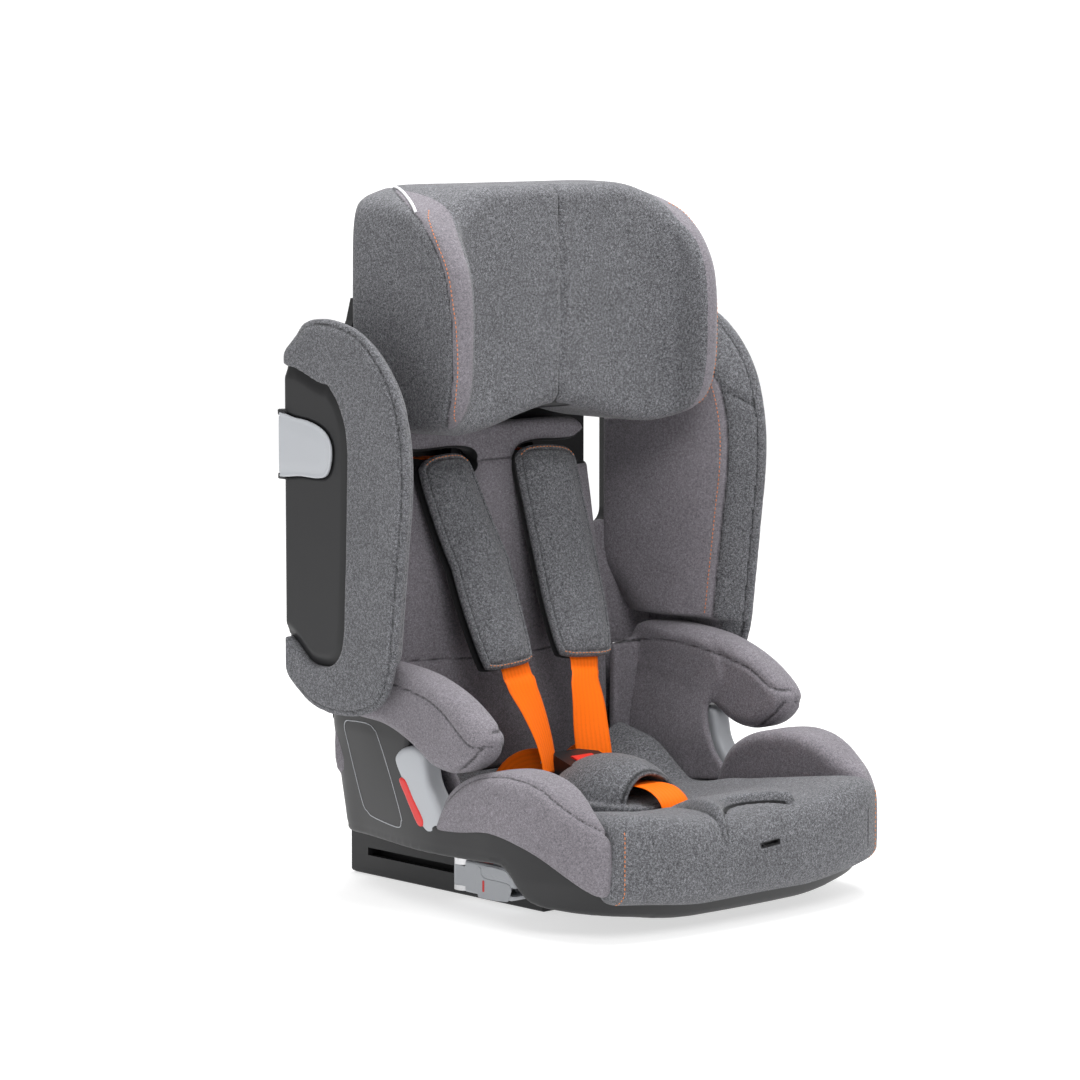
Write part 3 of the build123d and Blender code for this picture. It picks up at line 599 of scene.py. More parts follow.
def head_forward(x, y, z):
    """How far a place lies in front of the seam, which runs to the rear as it turns over the top."""
    back = 1.05 * np.maximum(178 - np.abs(x), 0) * ramp(z, 610, 670)
    return outline(y - back, z, HEAD_REGION)


def head_band(x, y, z):
    """Distance to the seam behind the light band on each wing's front edge."""
    return np.abs(head_forward(x, y, z)) + FAR * (np.abs(x) < 166 - 36 * ramp(z, 640, 690))


def head_zone(x, y, z):
    return np.minimum(head_forward(x, y, z), np.abs(x) - 160 + 14 * ramp(z, 640, 690))


def head_seam(x, y, z):
    middle = np.abs(x - head_middle(z)) + 50 * (y > -40)
    return np.minimum(middle, head_band(x, y, z))


headrest = soft("headrest_cover", head_field, (-196, -142, 452), (196, 34, 712), 3.2,
                zone=head_zone, seam=head_seam)
give(headrest, "headrest", "dark_fabric", "headrest_pad", fill=0.8)


def lip_field(x, y, z):
    """The dark plate under the headrest, behind its lower edge."""
    under = 462 + 20 * ramp(-np.abs(x), -120, -30)
    return meet(5, np.abs(x) - 133, span(y, -77, 26), span(z, under, 500))


lip = moulded("headrest_underside", lip_field, (-138, -82, 456), (138, 30, 504), 3.0, BLACK)
give(lip, "headrest", "black_plastic")


def offset_line(polygon, inset):
    """A closed outline moved inward by inset."""
    p = np.asarray(polygon, float)
    t = np.roll(p, -1, 0) - np.roll(p, 1, 0)
    t /= np.linalg.norm(t, axis=1)[:, None]
    n = np.stack([-t[:, 1], t[:, 0]], 1)
    if (outline(p[:, 0] + n[:, 0], p[:, 1] + n[:, 1], p) > 0).sum() > len(p) / 2:
        n = -n
    return p + inset * n


for side, sign in ((RIGHT, 1), (LEFT, -1)):
    ring = [q for q in offset_line(HEAD_REGION, -5) if q[0] < -60 and 470 < q[1] < 684]
    row = cast(headrest, [(sign * 230, q[0], q[1]) for q in ring], (-sign, 0, 0))
    give(stitches(f"headrest_stitches_{side}", row, THREAD), "headrest", "webbing")
    row = cast(headrest, [(sign * x, y, 740) for x, y in np.linspace((174, -66), (138, 6), 24)], (0, 0, -1))
    piping = tube(f"headrest_piping_{side}", [p + 0.4 * n for p, n in row], 1.6, SILVER)
    give(piping, "headrest", "light_fabric")


# ------------------------------------------------------------------ torso wings
WING_SIDE = loop([
    (160, 520), (100, 538), (60, 546), (38, 561), (22, 577), (0, 583), (-32, 582), (-70, 570), (-104, 542),
    (-127, 506), (-139, 458), (-140, 410), (-134, 357), (-126, 290), (-118, 236), (-100, 203), (-64, 187),
    (-22, 184), (14, 192), (44, 212), (70, 236), (110, 252), (160, 262), (165, 400),
])
PANEL = loop([
    (70, 512), (-11, 516), (-27, 509), (-40, 492), (-50, 462), (-50, 400), (-47, 320), (-44, 268),
    (-36, 246), (-17, 235), (12, 236), (34, 252), (50, 262), (70, 268),
], 6)
FLAP = loop([
    (70, 424), (20, 422), (-8, 422), (-20, 428), (-25, 444), (-23, 458), (-13, 469), (6, 476), (30, 479),
    (70, 480),
], 6)


def wing_field(x, y, z):
    """A padded frame: thick at its front edge, hollow inside, and cut away for the panel outside."""
    side = outline(y, z, WING_SIDE)
    inner = 208 - 0.243 * (y + 104) - 4 * np.exp(-(((y + 40) / 50) ** 2)) + 0.9 * np.maximum(y - 34, 0)
    inner = inner + (229 - inner) * ramp(-z, -253, -245)
    inner = np.maximum(inner, 188.5 * ramp(z, 440, 458))
    body = meet(13, side, x - 250.5)
    body = soft_max(4, body, y - 47.5)
    body = soft_max(12, body, 0.7071 * (245 + side - x))
    body = soft_max(18, body, 0.958 * (inner - x))
    cut = np.maximum(outline(y, z, PANEL) + 1.2, 238.5 - x)
    body = soft_max(3, body, -cut)
    return body + groove(wing_seam(x, y, z), 2.0, 2.6)


def wing_band_line(x, y):
    """Height of the slanted seam above the mauve lining."""
    return 494 - 0.8 * (x - 211) + np.where(y > -104, 0.8 * (y + 104), 0.0)


def wing_seam(x, y, z):
    side = outline(y, z, WING_SIDE)
    outer = np.abs(side + 10.5) + FAR * (x < 236) + FAR * (y > 30)
    inner = np.abs(side + 33) + FAR * (x > 228) + FAR * (z > wing_band_line(x, y))
    slant = 0.78 * np.abs(z - wing_band_line(x, y)) + FAR * (side > -11) + FAR * (x > 246)
    return np.minimum(np.minimum(outer, inner), slant)


def wing_zone(x, y, z):
    side = outline(y, z, WING_SIDE)
    return np.minimum(np.minimum(-(side + 33), wing_band_line(x, y) - z), 232 - x)


wing = soft("wing_cover_right", wing_field, (150, -146, 178), (256, 52, 590), 3.2,
            zone=wing_zone, seam=wing_seam)
ring = [q for q in offset_line(WING_SIDE, 39) if q[0] < -30 and q[1] > 252]
row = cast(wing, [(140, q[0], q[1]) for q in ring if q[1] < wing_band_line(205, q[0])], (1, 0, 0))
wing_stitches = stitches("wing_stitches_right", row, THREAD)
give_pair(wing, "backrest", "dark_fabric", "wing_pad_right", fill=0.7)
give_pair(wing_stitches, "backrest", "webbing")


def panel_field(x, y, z):
    inside = outline(y, z, PANEL)
    edge = inside + 1.0 - 7 * ramp(-x, -240.8, -239.6)
    plate = meet(1.2, edge, span(x, 237, 242.2 + 4.2 * ramp(-inside, 1, 14)), y - 49.5)
    well = meet(0.8, outline(y, z, FLAP) - 1.2, 245.0 - x)
    lugs = meet(1.0, span(x, 242, 249.6), span(y, 47, 57), np.abs(np.abs(z - 451.7) - 31.7) - 3)
    return np.minimum(np.maximum(plate, -well), lugs)


def flap_field(x, y, z):
    inside = outline(y, z, FLAP)
    skin = span(x, 246.7, 250.2 - 0.5 * ramp(-inside, 2.2, 3.4) + 0.9 * ramp(-inside, 3.4, 16))
    plate = meet(1.1, inside, skin, y - 54)
    barrel = meet(0.8, np.hypot(x - 246, y - 53) - 3.7, span(z, 424, 479))
    return soft_min(2, plate, barrel)


panel = moulded("wing_panel_cover_right", panel_field, (234, -60, 222), (252, 60, 528), 1.6, CHARCOAL)
give_pair(panel, "backrest", "charcoal_plastic", "wing_panel_right")
flap = moulded("impact_flap_right", flap_field, (240, -30, 416), (254, 60, 486), 1.2, LIGHT)
give_pair(flap, "side_flap_right", "light_plastic", "side_flap_right")


# ------------------------------------------------------------------ back pad
BACK_FRONT = loop(mirrored([
    (0, 462), (60, 462), (106, 461), (124, 456), (132, 446), (134, 432), (137, 405), (141, 370), (145, 310),
    (147, 250), (147, 180), (146, 124), (138, 108), (90, 104), (0, 104),
]))
SLOT_HOLE = loop([
    (27, 424), (33, 434), (56, 438), (90, 437), (112, 438), (130, 445), (175, 450), (175, 416), (120, 414),
    (70, 412), (34, 414),
])


def back_depth(x, z):
    """Where the front of the back pad lies."""
    rise = 16 - 20 * ramp(-z, -440, -160)
    return rise - 6 * (1 - (x / 150) ** 2) * ramp(z, 100, 200) + 5 * ramp(-z, -150, -104)


def back_field(x, y, z):
    body = meet(10, outline(x, z, BACK_FRONT), span(y, back_depth(x, z), 33))
    hole = outline(np.abs(x), z, SLOT_HOLE)
    body = soft_max(7, body, -hole)
    return body + groove(back_seam(x, y, z), 1.6, 2.4)


def back_seam(x, y, z):
    between = np.abs(z - 424) + FAR * (np.abs(x) > 30) + FAR * (y > 20)
    low = np.abs(z - 226 + 3 * np.cos(x / 45)) + FAR * (y > 25)
    return np.minimum(between, low)


# Painted shade: near-black inside the slot holes of the back pad and within 3 mm around them.
def back_lined(x, y, z):
    return 3.0 - outline(np.abs(x), z, SLOT_HOLE)


back = soft("back_cover", back_field, (-152, -18, 98), (152, 38, 468), 3.2,
            zone=all_mauve, seam=back_seam, lined=back_lined)
give(back, "backrest", "light_fabric", "back_pad", fill=0.5)


LINING_FRONT = loop([
    (138, 120), (184, 120), (184, 208), (196, 213), (228, 215), (232, 248), (222, 268), (200, 280),
    (192, 300), (189, 336), (180, 346), (164, 344), (150, 345), (138, 340),
], 6)


def lining_field(x, y, z):
    front = 36 - 9 * ramp(x, 168, 190) - 4 * ramp(-x, -160, -142) - 6 * ramp(x, 190, 215)
    return meet(5, outline(x, z, LINING_FRONT), span(y, front, 49))


lining_and_painted_shade = soft("side_lining_right", lining_field, (130, 20, 114), (236, 54, 352), 2.6, zone=all_mauve)
give_pair(lining_and_painted_shade, "backrest", "light_fabric", fill=0.5)


# ------------------------------------------------------------------ rear cover
REAR_FRONT = loop(mirrored([
    (0, 535), (60, 535), (104, 530), (126, 514), (134, 480), (134, 300), (132, 190), (122, 152), (96, 137),
    (50, 135), (0, 135),
]))
REAR_INNER = loop(mirrored([
    (0, 505), (50, 505), (84, 500), (98, 486), (102, 450), (102, 300), (98, 214), (84, 186), (50, 176),
    (0, 175),
]))
VENT = loop(mirrored([(0, 470), (40, 470), (58, 462), (62, 448), (58, 434), (40, 426), (0, 426)]))


def rear_field(x, y, z):
    body = meet(6, outline(x, z, REAR_FRONT), span(y, 63, 79.2))
    inner = outline(x, z, REAR_INNER)
    pocket = meet(3, inner, 75.8 - y)
    body = soft_max(2.5, body, -pocket)
    bars = np.abs(((z - 196) % 26) - 13)
    rib = meet(1.2, inner + 9, bars - 2.2, span(y, 72, 78.4), -outline(x, z, VENT) - 2)
    strap = meet(1.2, span(x, -23, 23), span(z, 186, 430), span(y, 72, 77.4))
    recess = meet(1.5, outline(x, z, VENT), 69 - y)
    body = np.minimum(soft_min(1.5, body, rib), strap)
    return soft_max(1.5, body, -recess)


rear = moulded("rear_panel", rear_field, (-138, 60, 130), (138, 83, 540), 2.8, CHARCOAL)
give(rear, "backrest", "charcoal_plastic", "rear_cover")


# ------------------------------------------------------------------ armrests and hip lining
ARM_SIDE = loop([
    (4, 226), (-6, 240), (-30, 244), (-80, 242), (-125, 236), (-164, 223), (-194, 206), (-213, 188),
    (-214, 170), (-196, 153), (-168, 145), (-142, 148), (-122, 158), (-104, 168), (-66, 181), (0, 190),
])
ARM_OUTER = path([
    (0, 226), (-50, 227), (-89, 224), (-130, 217), (-158, 206), (-180, 190), (-200, 177), (-222, 176),
])
ARM_INNER = path([(0, 222), (-53, 226), (-107, 222), (-156, 212), (-178, 204), (-199, 192), (-222, 187)])
ARM_UNDER = path([(-216, 181), (-206, 168), (-192, 157), (-176, 148), (-160, 144)])


def arm_seam(x, y, z):
    outer = line_distance(y, z, ARM_OUTER) + FAR * (x < 207)
    inner = line_distance(y, z, ARM_INNER) + FAR * (x > 207)
    under = line_distance(y, z, ARM_UNDER) + FAR * (np.abs(x - 207) < 10)
    return np.minimum(np.minimum(outer, inner), under)


def arm_field(x, y, z):
    body = meet(15, outline(y, z, ARM_SIDE), span(x, 185.5, 226))
    return body + groove(arm_seam(x, y, z), 1.7, 2.4)


HIP_SIDE = loop([
    (2, 228), (-60, 232), (-110, 226), (-130, 200), (-121, 178), (-116, 162), (-122, 140), (-134, 118),
    (-150, 98), (-120, 88), (0, 88),
], 6)


def hip_wall(z):
    """Where the inner face of the hip lining stands."""
    return 186 - 15 * ramp(-z, -222, -118)


def hip_seam(x, y, z):
    corner = np.hypot(x - hip_wall(z), y + 8) + FAR * (z > 221)
    return np.minimum(corner, np.abs(z - 221) + FAR * (x > 186) + FAR * (y < -12))


def hip_field(x, y, z):
    wall = hip_wall(z)
    face = meet(3, outline(y, z, HIP_SIDE), span(x, wall, wall + 7))
    rear = meet(3, span(y, -8, 2), span(x, 151, wall + 6), span(z, 96, 226 - 0.12 * (190 - x)))
    return soft_min(4, face, rear)


def armrest_seam(x, y, z):
    return np.minimum(arm_seam(x, y, z), hip_seam(x, y, z))


def armrest_field(x, y, z):
    """The armrest's pad with the padded lining beside the child's hip, in one cover."""
    return soft_min(9, arm_field(x, y, z), hip_field(x, y, z)) + groove(hip_seam(x, y, z), 1.5, 2.2)


arm = soft("armrest_cover_right", armrest_field, (146, -220, 82), (230, 10, 250), 2.6,
           zone=all_mauve, seam=armrest_seam)
give_pair(arm, "base", "light_fabric", "armrest_pad_right", fill=0.7)


# ------------------------------------------------------------------ base shell and belt guides
SHELL_SIDE = loop([
    (63, 186), (64, 160), (61, 110), (55, 60), (44, 56), (0, 57), (-100, 59), (-180, 62), (-228, 64),
    (-244, 58), (-256, 45), (-268, 30), (-288, 18), (-318, 13), (-352, 13), (-374, 22), (-388, 40),
    (-366, 48), (-332, 68), (-300, 84), (-268, 93), (-228, 99), (-180, 96), (-140, 92), (-116, 98),
    (-98, 118), (-90, 150), (-90, 200), (-40, 212), (30, 205),
])
SHELL_PLAN = loop(mirrored([
    (0, 64), (140, 64), (170, 60), (187, 45), (197, 0), (205, -60), (212, -130), (216, -190), (218, -230),
    (215, -280), (203, -316), (180, -344), (150, -360), (110, -372), (60, -379), (0, -381),
]))


def shell_field(x, y, z):
    """The base's skirt and its two uprights, open below, with room for the harness adjuster in front."""
    a = np.abs(x)
    tuck = 30 * ramp(-y, 225, 335) * (np.clip(56 - z, 0, 60) / 46) ** 1.5
    taper = 0.13 * np.clip(165 - z, 0, 120) * ramp(y, -140, 20)
    plan = outline(x, y, SHELL_PLAN) + tuck + taper
    lift = 11 * ramp(a, 70, 195) * ramp(-y, 250, 300) * ramp(-z, -60, -36)
    body = meet(5, outline(y, z - lift, SHELL_SIDE), plan)
    body = soft_max(3, body, np.minimum(z - 88, np.maximum(-9 - plan, 168 - a)))
    well = np.maximum(np.maximum(a - 104, 8 - y), 40 - z)
    adjuster = np.maximum(np.maximum(a - 31, np.abs(y + 352) - 27), 34 - z)
    body = np.maximum(np.maximum(body, -well), -adjuster)
    rim = np.abs(outline(y, z, SHELL_SIDE) + 7) + FAR * (z > 80) + FAR * (a < 120)
    return body + groove(rim, 0.5, 2.5)


shell = moulded("base_shell_cover", shell_field, (-224, -390, 8), (224, 70, 216), 3.2, CHARCOAL)
give(shell, "base", "charcoal_plastic", "base_shell", "arm_upright_left", "arm_upright_right")
LABEL = loop([
    (23, 170), (8, 174), (-20, 175), (-32, 171), (-41, 160), (-72, 94), (-74, 84), (-66, 77), (-20, 79),
    (-6, 83), (4, 94), (20, 150),
], 10)
row = cast(shell, [(-300, y, z) for y, z in LABEL], (1, 0, 0))
give(tube("label_outline_left", [p for p, n in row], 0.45, LIGHT, closed=True), "base", "light_plastic")

GUIDE_SIDE = loop([
    (-74, 150), (-84, 159), (-101, 163), (-116, 158), (-120, 146), (-124, 130), (-136, 112), (-145, 98),
    (-145, 86), (-136, 79), (-122, 80), (-111, 88), (-100, 102), (-88, 122), (-76, 140),
])

GUIDE_STRIP = loop([
    (-82, 128), (-91, 129), (-103, 112), (-117, 94), (-117, 87), (-111, 86), (-104, 94), (-92, 112),
], 6)


def guide_field(x, y, z):
    return meet(5.5, outline(y, z, GUIDE_SIDE), span(x, 189, 212))


def insert_field(x, y, z):
    return meet(1.2, outline(y, z, GUIDE_STRIP), span(x, 200, 212.8))


guide = moulded("belt_guide_cover_right", guide_field, (184, -150, 74), (226, -68, 168), 2.2, LIGHT)
insert = moulded("belt_guide_mark_right", insert_field, (198, -124, 80), (216, -76, 136), 1.4, RED)
give_pair(guide, "base", "light_plastic", "belt_guide_right")
give_pair(insert, "base", "red_plastic")


# ------------------------------------------------------------------ skins of the anchor connectors
LID = loop([(-140, 40), (-147, 43), (-170, 42.5), (-177, 39), (-178, 33), (-150, 34), (-141, 36)], 6)
SIDE_PLATE = loop([
    (-131, 13), (-130, 38), (-136, 40), (-141, 31), (-178, 29), (-177, 14), (-170, 11), (-140, 10),
], 6)


def lid_field(x, y, z):
    skin = span(x, 152.2, 153.3)
    return np.minimum(meet(0.7, outline(y, z, LID), skin), meet(0.7, outline(y, z, SIDE_PLATE), skin))


def mark_field(x, y, z):
    return meet(0.5, span(x, 152.8, 153.8), span(y, -141.6, -138.6), span(z, 16.5, 28))


lid = moulded("connector_lid_right", lid_field, (150, -184, 6), (156, -126, 48), 0.8, LIGHT)
give_pair(lid, "isofix_connector_right", "light_plastic")
mark = moulded("connector_mark_right", mark_field, (150, -184, 6), (156, -126, 48), 0.5, RED)
give_pair(mark, "isofix_connector_right", "red_plastic")


# ------------------------------------------------------------------ side bolsters
BOLSTER_SIDE = loop([
    (-136, 84), (-142, 104), (-158, 127), (-184, 143), (-214, 151), (-248, 154), (-282, 148), (-312, 133),
    (-338, 116), (-356, 100), (-364, 75), (-362, 45), (-345, 40), (-310, 60), (-270, 78), (-220, 88),
    (-170, 84),
])
SEAT_PLAN = loop(mirrored([
    (0, 6), (150, 6), (200, -20), (218, -130), (222, -200), (221, -260), (215, -298), (204, -330),
    (183, -354), (152, -370), (110, -380), (60, -386), (0, -388),
]))
BOLSTER_SEAM = path([
    (-150, 76), (-165, 68), (-190, 55), (-221, 47), (-258, 45), (-285, 47), (-303, 52), (-325, 56),
    (-340, 54), (-350, 48), (-356, 42),
])


def seat_edge(y):
    """Where the cushion meets the side bolster."""
    return 167 + 9 * ramp(-y, 290, 345)


def bolster_field(x, y, z):
    top = outline(y, z, BOLSTER_SIDE)
    body = meet(17, top, outline(x, y, SEAT_PLAN))
    body = soft_max(14, body, 0.95 * (seat_edge(y) - 0.10 * (z - 110) * ramp(y, -345, -300) - x))
    return body + groove(bolster_seam(x, y, z), 1.8, 2.6)


def bolster_seam(x, y, z):
    """The seam along the bolster's rounded outer edge, seen square to that edge."""
    return line_distance(y, 0.7071 * (x - z), BOLSTER_SEAM) + FAR * (x < 170)


bolster = soft("bolster_cover_right", bolster_field, (156, -368, 34), (228, -130, 160), 2.8,
               zone=all_mauve, seam=bolster_seam)
give_pair(bolster, "base", "light_fabric", "side_bolster_right", fill=0.8)


# ------------------------------------------------------------------ seat cushion
TONGUE = loop([
    (-18, -258), (22, -256), (50, -290), (60, -335), (54, -366), (32, -352), (4, -344), (-22, -348),
    (-44, -364), (-60, -386), (-54, -345), (-36, -298),
])
SEAT_SIDE = loop([
    (5, 100), (-4, 108), (-60, 96), (-130, 90), (-190, 92), (-240, 99), (-300, 108), (-345, 112),
    (-371, 107), (-386, 90), (-391, 70), (-387, 48), (-374, 33), (-352, 25), (-300, 28), (-200, 40),
    (-60, 52), (4, 60),
])


def seat_slit(x, y, z):
    return np.maximum(np.maximum(span(x, -12.5, 12.5), span(z - 0.05 * x, 77.4, 80.4)), y + 372)


def seat_lift(x, y):
    """How far the cushion top stands above its middle line."""
    a = np.abs(x)
    hips = 34 * ramp(a, 92, 150) * ramp(-y, 0, 18) * ramp(y, -118, -52)
    thighs = 9 * ramp(a, 60, 160) * ramp(-y, 120, 190)
    dish = -6 * ramp(-a, -80, -20) * ramp(-y, 60, 120) * ramp(y, -285, -235)
    flap = 9 * ramp(-outline(x, y, TONGUE), -1.5, 6) * ramp(-y, 262, 320)
    dimple = -5 * np.exp(-((x / 24) ** 2) - ((y + 378) / 12) ** 2)
    return hips + thighs + dish + flap + dimple


def seat_field(x, y, z):
    a = np.abs(x)
    hem = 11 * ramp(a, 60, 178) * ramp(-z, -70, -40)
    side = outline(y, z - seat_lift(x, y) * ramp(z, 60, 95) - hem, SEAT_SIDE)
    plan = np.maximum(outline(x, y, SEAT_PLAN), 0.98 * (a - seat_edge(y) - 0.12 * (110 - z)))
    body = meet(16, side, plan)
    return soft_max(2, body, -seat_slit(x, y, z)) + groove(seat_seam(x, y, z), 2.0, 2.2)


def seat_seam(x, y, z):
    return np.abs(outline(x, y, TONGUE)) + FAR * (y > -262) + FAR * (z < 85) + 30 * ramp(x, 46, 60)


# Painted shade: a near-black band under the lifted front lip of the flap, and near-black inside the slit.
def seat_lined(x, y, z):
    elsewhere = 1.0 * (y > -340) + (np.abs(x - 3) > 42) + (z < 95)
    under_flap = 1.9 - np.abs(outline(x, y, TONGUE) - 0.6) - 30 * elsewhere
    return np.maximum(under_flap, 1.4 - seat_slit(x, y, z))


seat = soft("seat_cover", seat_field, (-184, -394, 14), (184, 10, 152), 3.0,
            seam=seat_seam, lined=seat_lined)
give(seat, "base", "dark_fabric", "seat_cushion", "adjuster_flap", fill=0.7)
for side, sign in ((RIGHT, 1), (LEFT, -1)):
    heights = np.linspace(108, 34, 30)
    row = cast(seat, [(sign * (seat_edge(-350) - 3.5), -430, h) for h in heights], (0, 1, 0))
    give(stitches(f"corner_stitches_{side}", row, THREAD), "base", "webbing")


# ------------------------------------------------------------------ buckle pad
def dome_tunnel(x, y, z):
    """The opening in the dome that the crotch strap comes out of."""
    return (np.sqrt((x / 36) ** 2 + ((y + 200) / 80) ** 2 + ((z - 88) / 36) ** 2) - 1) * 36


def dome_field(x, y, z):
    outer = (np.sqrt((x / 56) ** 2 + ((y + 166) / 73) ** 2 + ((z - 90) / 50) ** 2) - 1) * 50
    body = soft_max(6, outer, -dome_tunnel(x, y, z))
    plan = (np.sqrt((x / 61) ** 2 + ((y + 167) / 72) ** 2) - 1) * 61
    base = meet(3, plan, span(z - 0.05 * (y + 170), 84, 101))
    return soft_max(4, soft_min(2, body, base), 86 - z)


def dome_seam(x, y, z):
    return np.abs(dome_tunnel(x, y, z) - 5) + 30 * (y > -180) + 30 * (z < 100)


dome = soft("buckle_pad_cover", dome_field, (-66, -246, 80), (66, -86, 148), 2.0, seam=dome_seam)
give(dome, "base", "dark_fabric", "crotch_pad", fill=0.6)


# ------------------------------------------------------------------ shoulder pads and harness
PAD_TOP, PAD_BOTTOM = (62, 6, 428), (47, -70, 222)
PAD_ALONG = np.array(PAD_BOTTOM, float) - np.array(PAD_TOP)
PAD_ALONG /= np.linalg.norm(PAD_ALONG)
PAD_ACROSS = np.array([1.0, 0, 0]) - PAD_ALONG[0] * PAD_ALONG
PAD_ACROSS /= np.linalg.norm(PAD_ACROSS)
PAD_OUT = np.cross(PAD_ACROSS, PAD_ALONG)
PAD_OUT *= -np.sign(PAD_OUT[1])
PAD_PLANS = {
    RIGHT: loop([
        (0, -36), (-5, -20), (-5, 18), (1, 34), (13, 40), (60, 46), (112, 50), (165, 48), (207, 39),
        (218, 30), (220, 0), (218, -27), (209, -34), (165, -36), (112, -36), (60, -38), (13, -42),
    ], 6),
    LEFT: loop([
        (0, -26), (-5, -12), (-5, 16), (1, 31), (13, 36), (60, 38), (112, 38), (165, 37), (209, 34),
        (218, 28), (220, 0), (218, -25), (209, -32), (165, -37), (112, -39), (60, -36), (13, -33),
    ], 6),
}
PAD_SIGN = {RIGHT: 1, LEFT: -1}
# how far each pad hangs outward at its top, middle and bottom
PAD_SWAY = {RIGHT: (0, 0, 0), LEFT: (17, 2, 9)}


def pad_local(side, x, y, z):
    """Places along, across and out of one side's pad; across is positive away from the middle."""
    dx, dy, dz = PAD_SIGN[side] * x - PAD_TOP[0], y - PAD_TOP[1], z - PAD_TOP[2]
    t = dx * PAD_ALONG[0] + dy * PAD_ALONG[1] + dz * PAD_ALONG[2]
    u = dx * PAD_ACROSS[0] + dy * PAD_ACROSS[1] + dz * PAD_ACROSS[2]
    w = dx * PAD_OUT[0] + dy * PAD_OUT[1] + dz * PAD_OUT[2]
    u = u - np.interp(t, (0, 110, 220), PAD_SWAY[side])
    return t, u, w + 7 * np.sin(math.pi * np.clip(t, -20, 240) / 220) - 2


def pad_field(side, x, y, z):
    t, u, w = pad_local(side, x, y, z)
    edge = outline(t, u, PAD_PLANS[side])
    upper = meet(5.5, edge, span(w + 0.0022 * u**2, -2, 9 + 4.5 * ramp(-edge, 5, 24)))
    upper = upper + groove(np.abs(edge + 5.5) + 30 * (w < 0), 2.1, 1.3)
    gape = (0.0028 if side == LEFT else 0.0012) * np.maximum(u, 0) ** 2
    lower = meet(4, edge + 1, span(w + gape, -11, -3.5))
    return np.minimum(upper, lower)


def pad_seam(side, x, y, z):
    t, u, w = pad_local(side, x, y, z)
    return np.abs(outline(t, u, PAD_PLANS[side]) + 5.5) + 0.3 + 30 * (w < 0)


for side, sign in PAD_SIGN.items():
    low_x, high_x = (6, 112) if side == RIGHT else (-126, -6)
    pad = soft(
        f"shoulder_pad_cover_{side}",
        lambda x, y, z, side=side: pad_field(side, x, y, z),
        (low_x, -108, 204), (high_x, 34, 444), 2.0,
        seam=lambda x, y, z, side=side: pad_seam(side, x, y, z),
        # painted shade: the pad's lower layer is coloured near-black
        lined=lambda x, y, z, side=side: -0.5 - pad_local(side, x, y, z)[2],
    )
    give(pad, "backrest", "dark_fabric", f"shoulder_pad_{side}", fill=0.6)
    ends = [(t, u) for t, u in offset_line(PAD_PLANS[side], 3.2) if t < 6 or t > 212]
    for label, at_top in (("top", True), ("bottom", False)):
        kept = np.array(sorted([q for q in ends if (q[0] < 100) == at_top], key=lambda q: q[1]))
        share = np.linspace(0, 1, len(kept))
        line = np.stack([np.interp(np.linspace(0, 1, 40), share, kept[:, k]) for k in (0, 1)], 1)
        origins = []
        for t, u in line:
            sway = np.interp(t, (0, 110, 220), PAD_SWAY[side])
            origins.append(np.array(PAD_TOP) + t * PAD_ALONG + (u + sway) * PAD_ACROSS + 60 * PAD_OUT)
        facing = np.array([sign, 1, 1])
        found = cast(pad, [facing * q for q in origins], -facing * PAD_OUT)
        give(stitches(f"shoulder_pad_{label}_stitches_{side}", found, THREAD), "backrest", "webbing")


STRAP_LINE = path([
    (66, 44, 428), (62, 20, 429), (60, 2, 420), (54, -34, 330), (48, -68, 228), (45, -82, 206),
    (40, -94, 182), (35, -103, 156), (33, -109, 134), (32, -112, 118),
], 6)
STRAP_SIDE = path([
    (1, 0, 0), (1, 0, 0), (1, 0, 0), (1, 0, 0), (1, 0, 0), (1, 0.05, 0), (0.97, -0.12, 0.1),
    (0.9, -0.25, 0.25), (0.85, -0.3, 0.4), (0.8, -0.3, 0.5),
], 6)
strap = ribbon("shoulder_strap_right", STRAP_LINE, STRAP_SIDE, ORANGE)
strap_left = mirror_piece(strap, "shoulder_strap_left")
for piece, shift in ((strap, -8), (strap_left, -5)):
    points = points_of(piece)
    points[:, 0] += shift * ramp(-points[:, 2], -PAD_BOTTOM[2], -200)
    points[:, 0] -= 14 * ramp(points[:, 2], 240, 400) * (points[:, 0] < 0)  # the left pad hangs outward
    set_points(piece, points)
    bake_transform(piece)
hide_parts("shoulder_straps")

LAP_LINE = path([(40, -32, 72), (40, -46, 92), (39, -62, 110), (36, -82, 120), (30, -104, 122)], 6)
LAP_SIDE = path([(0.1, 0.1, 1), (0.1, 0.1, 1), (0.1, 0.2, 1), (0.2, 0.5, 1), (0.2, 0.6, 1)], 6)
lap = ribbon("lap_strap_right", LAP_LINE, LAP_SIDE, ORANGE)
lap_left = mirror_piece(lap, "lap_strap_left")
give(lap, "base", "webbing", "lap_straps")
give(lap_left, "base", "webbing")

CROTCH_LINE = path([
    (0, -140, 112), (0, -170, 113), (0, -205, 115), (0, -232, 114), (0, -250, 104), (0, -256, 88),
], 6)
CROTCH_SIDE = np.tile([1.0, 0, 0], (len(CROTCH_LINE), 1))
crotch = ribbon("buckle_strap", CROTCH_LINE, CROTCH_SIDE, ORANGE)
give(crotch, "base", "webbing", "crotch_strap")


# ------------------------------------------------------------------ finishes of the CAD nodes that stay
for subpart in frame["record"]["subparts"]:
    mesh = frame["nodes"][subpart["node"]].data
    mesh.materials.clear()
    mesh.materials.append(SLOT_FINISH[subpart["material_slot"]])


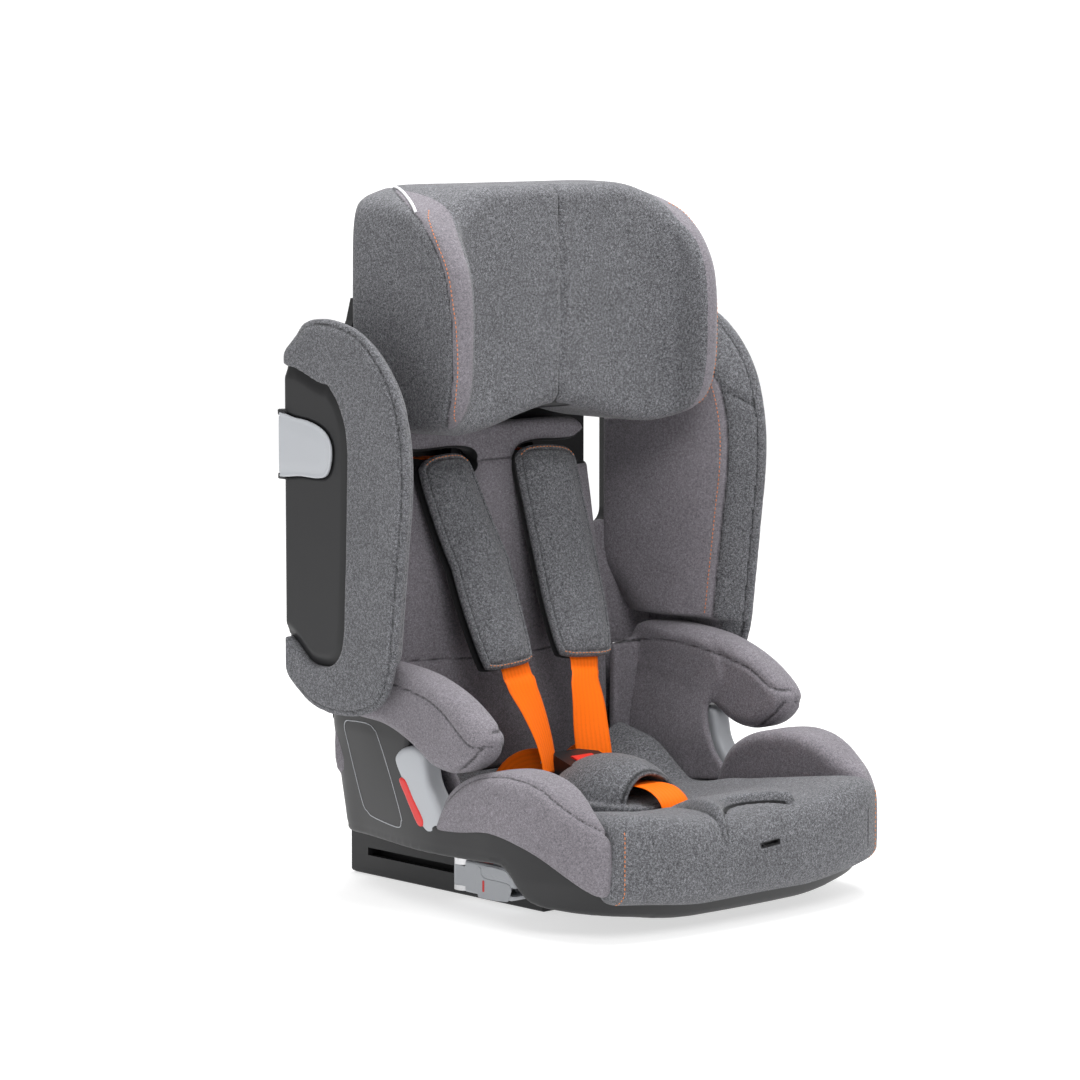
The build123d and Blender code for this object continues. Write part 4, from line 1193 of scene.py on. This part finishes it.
# ------------------------------------------------------------------ floor, lights, camera
def stage_plane(name, corners, colour, glow):
    mesh = bpy.data.meshes.new(name)
    mesh.from_pydata(corners, [], [(0, 1, 2, 3)])
    o = bpy.data.objects.new(name, mesh)
    bpy.context.scene.collection.objects.link(o)
    matt = {"Emission_Color": (1, 1, 1, 1), "Emission_Strength": glow, "Specular_IOR_Level": 0.0}
    o.data.materials.append(Nodes(name).finish(colour, 0.9, **matt))


stage_plane("floor", [(-40, -40, 0), (40, -40, 0), (40, 40, 0), (-40, 40, 0)], (0.55, 0.55, 0.55), 0.62)
stage_plane("backdrop", [(-6, 22, -1), (22, -6, -1), (22, -6, 16), (-6, 22, 16)], (0.5, 0.5, 0.5), 0.9)


def light(name, place, target, size, power):
    data = bpy.data.lights.new(name, "AREA")
    data.shape = "RECTANGLE"
    data.size, data.size_y = size
    data.energy = power
    o = bpy.data.objects.new(name, data)
    o.location = place
    o.rotation_euler = (Vector(target) - Vector(place)).to_track_quat("-Z", "Y").to_euler()
    bpy.context.scene.collection.objects.link(o)


light("key", (-1.4, -2.4, 2.6), (0, -0.1, 0.3), (1.5, 1.5), 50)
light("top", (0.2, -0.2, 3.0), (0, -0.1, 0.3), (1.6, 1.6), 105)
light("left_fill", (-3.0, -0.4, 1.2), (0, -0.1, 0.35), (1.6, 2.0), 10)
light("right_fill", (2.6, -1.8, 1.4), (0, -0.1, 0.35), (1.6, 2.0), 6)

world = bpy.context.scene.world or bpy.data.worlds.new("studio")
bpy.context.scene.world = world
world.use_nodes = True
world.node_tree.nodes["Background"].inputs[0].default_value = (1, 1, 1, 1)
world.node_tree.nodes["Background"].inputs[1].default_value = 0.42
bpy.context.scene.view_settings.view_transform = "Standard"

camera_data = bpy.data.cameras.new("camera")
camera_data.lens = 140.67
camera_data.sensor_width = 36
camera = bpy.data.objects.new("camera", camera_data)
camera.location = (-2.878, -3.181, 0.830)
camera.rotation_euler = (-Vector((-0.6730, -0.7308, 0.1132))).to_track_quat("-Z", "Y").to_euler()
bpy.context.scene.collection.objects.link(camera)
bpy.context.scene.camera = camera
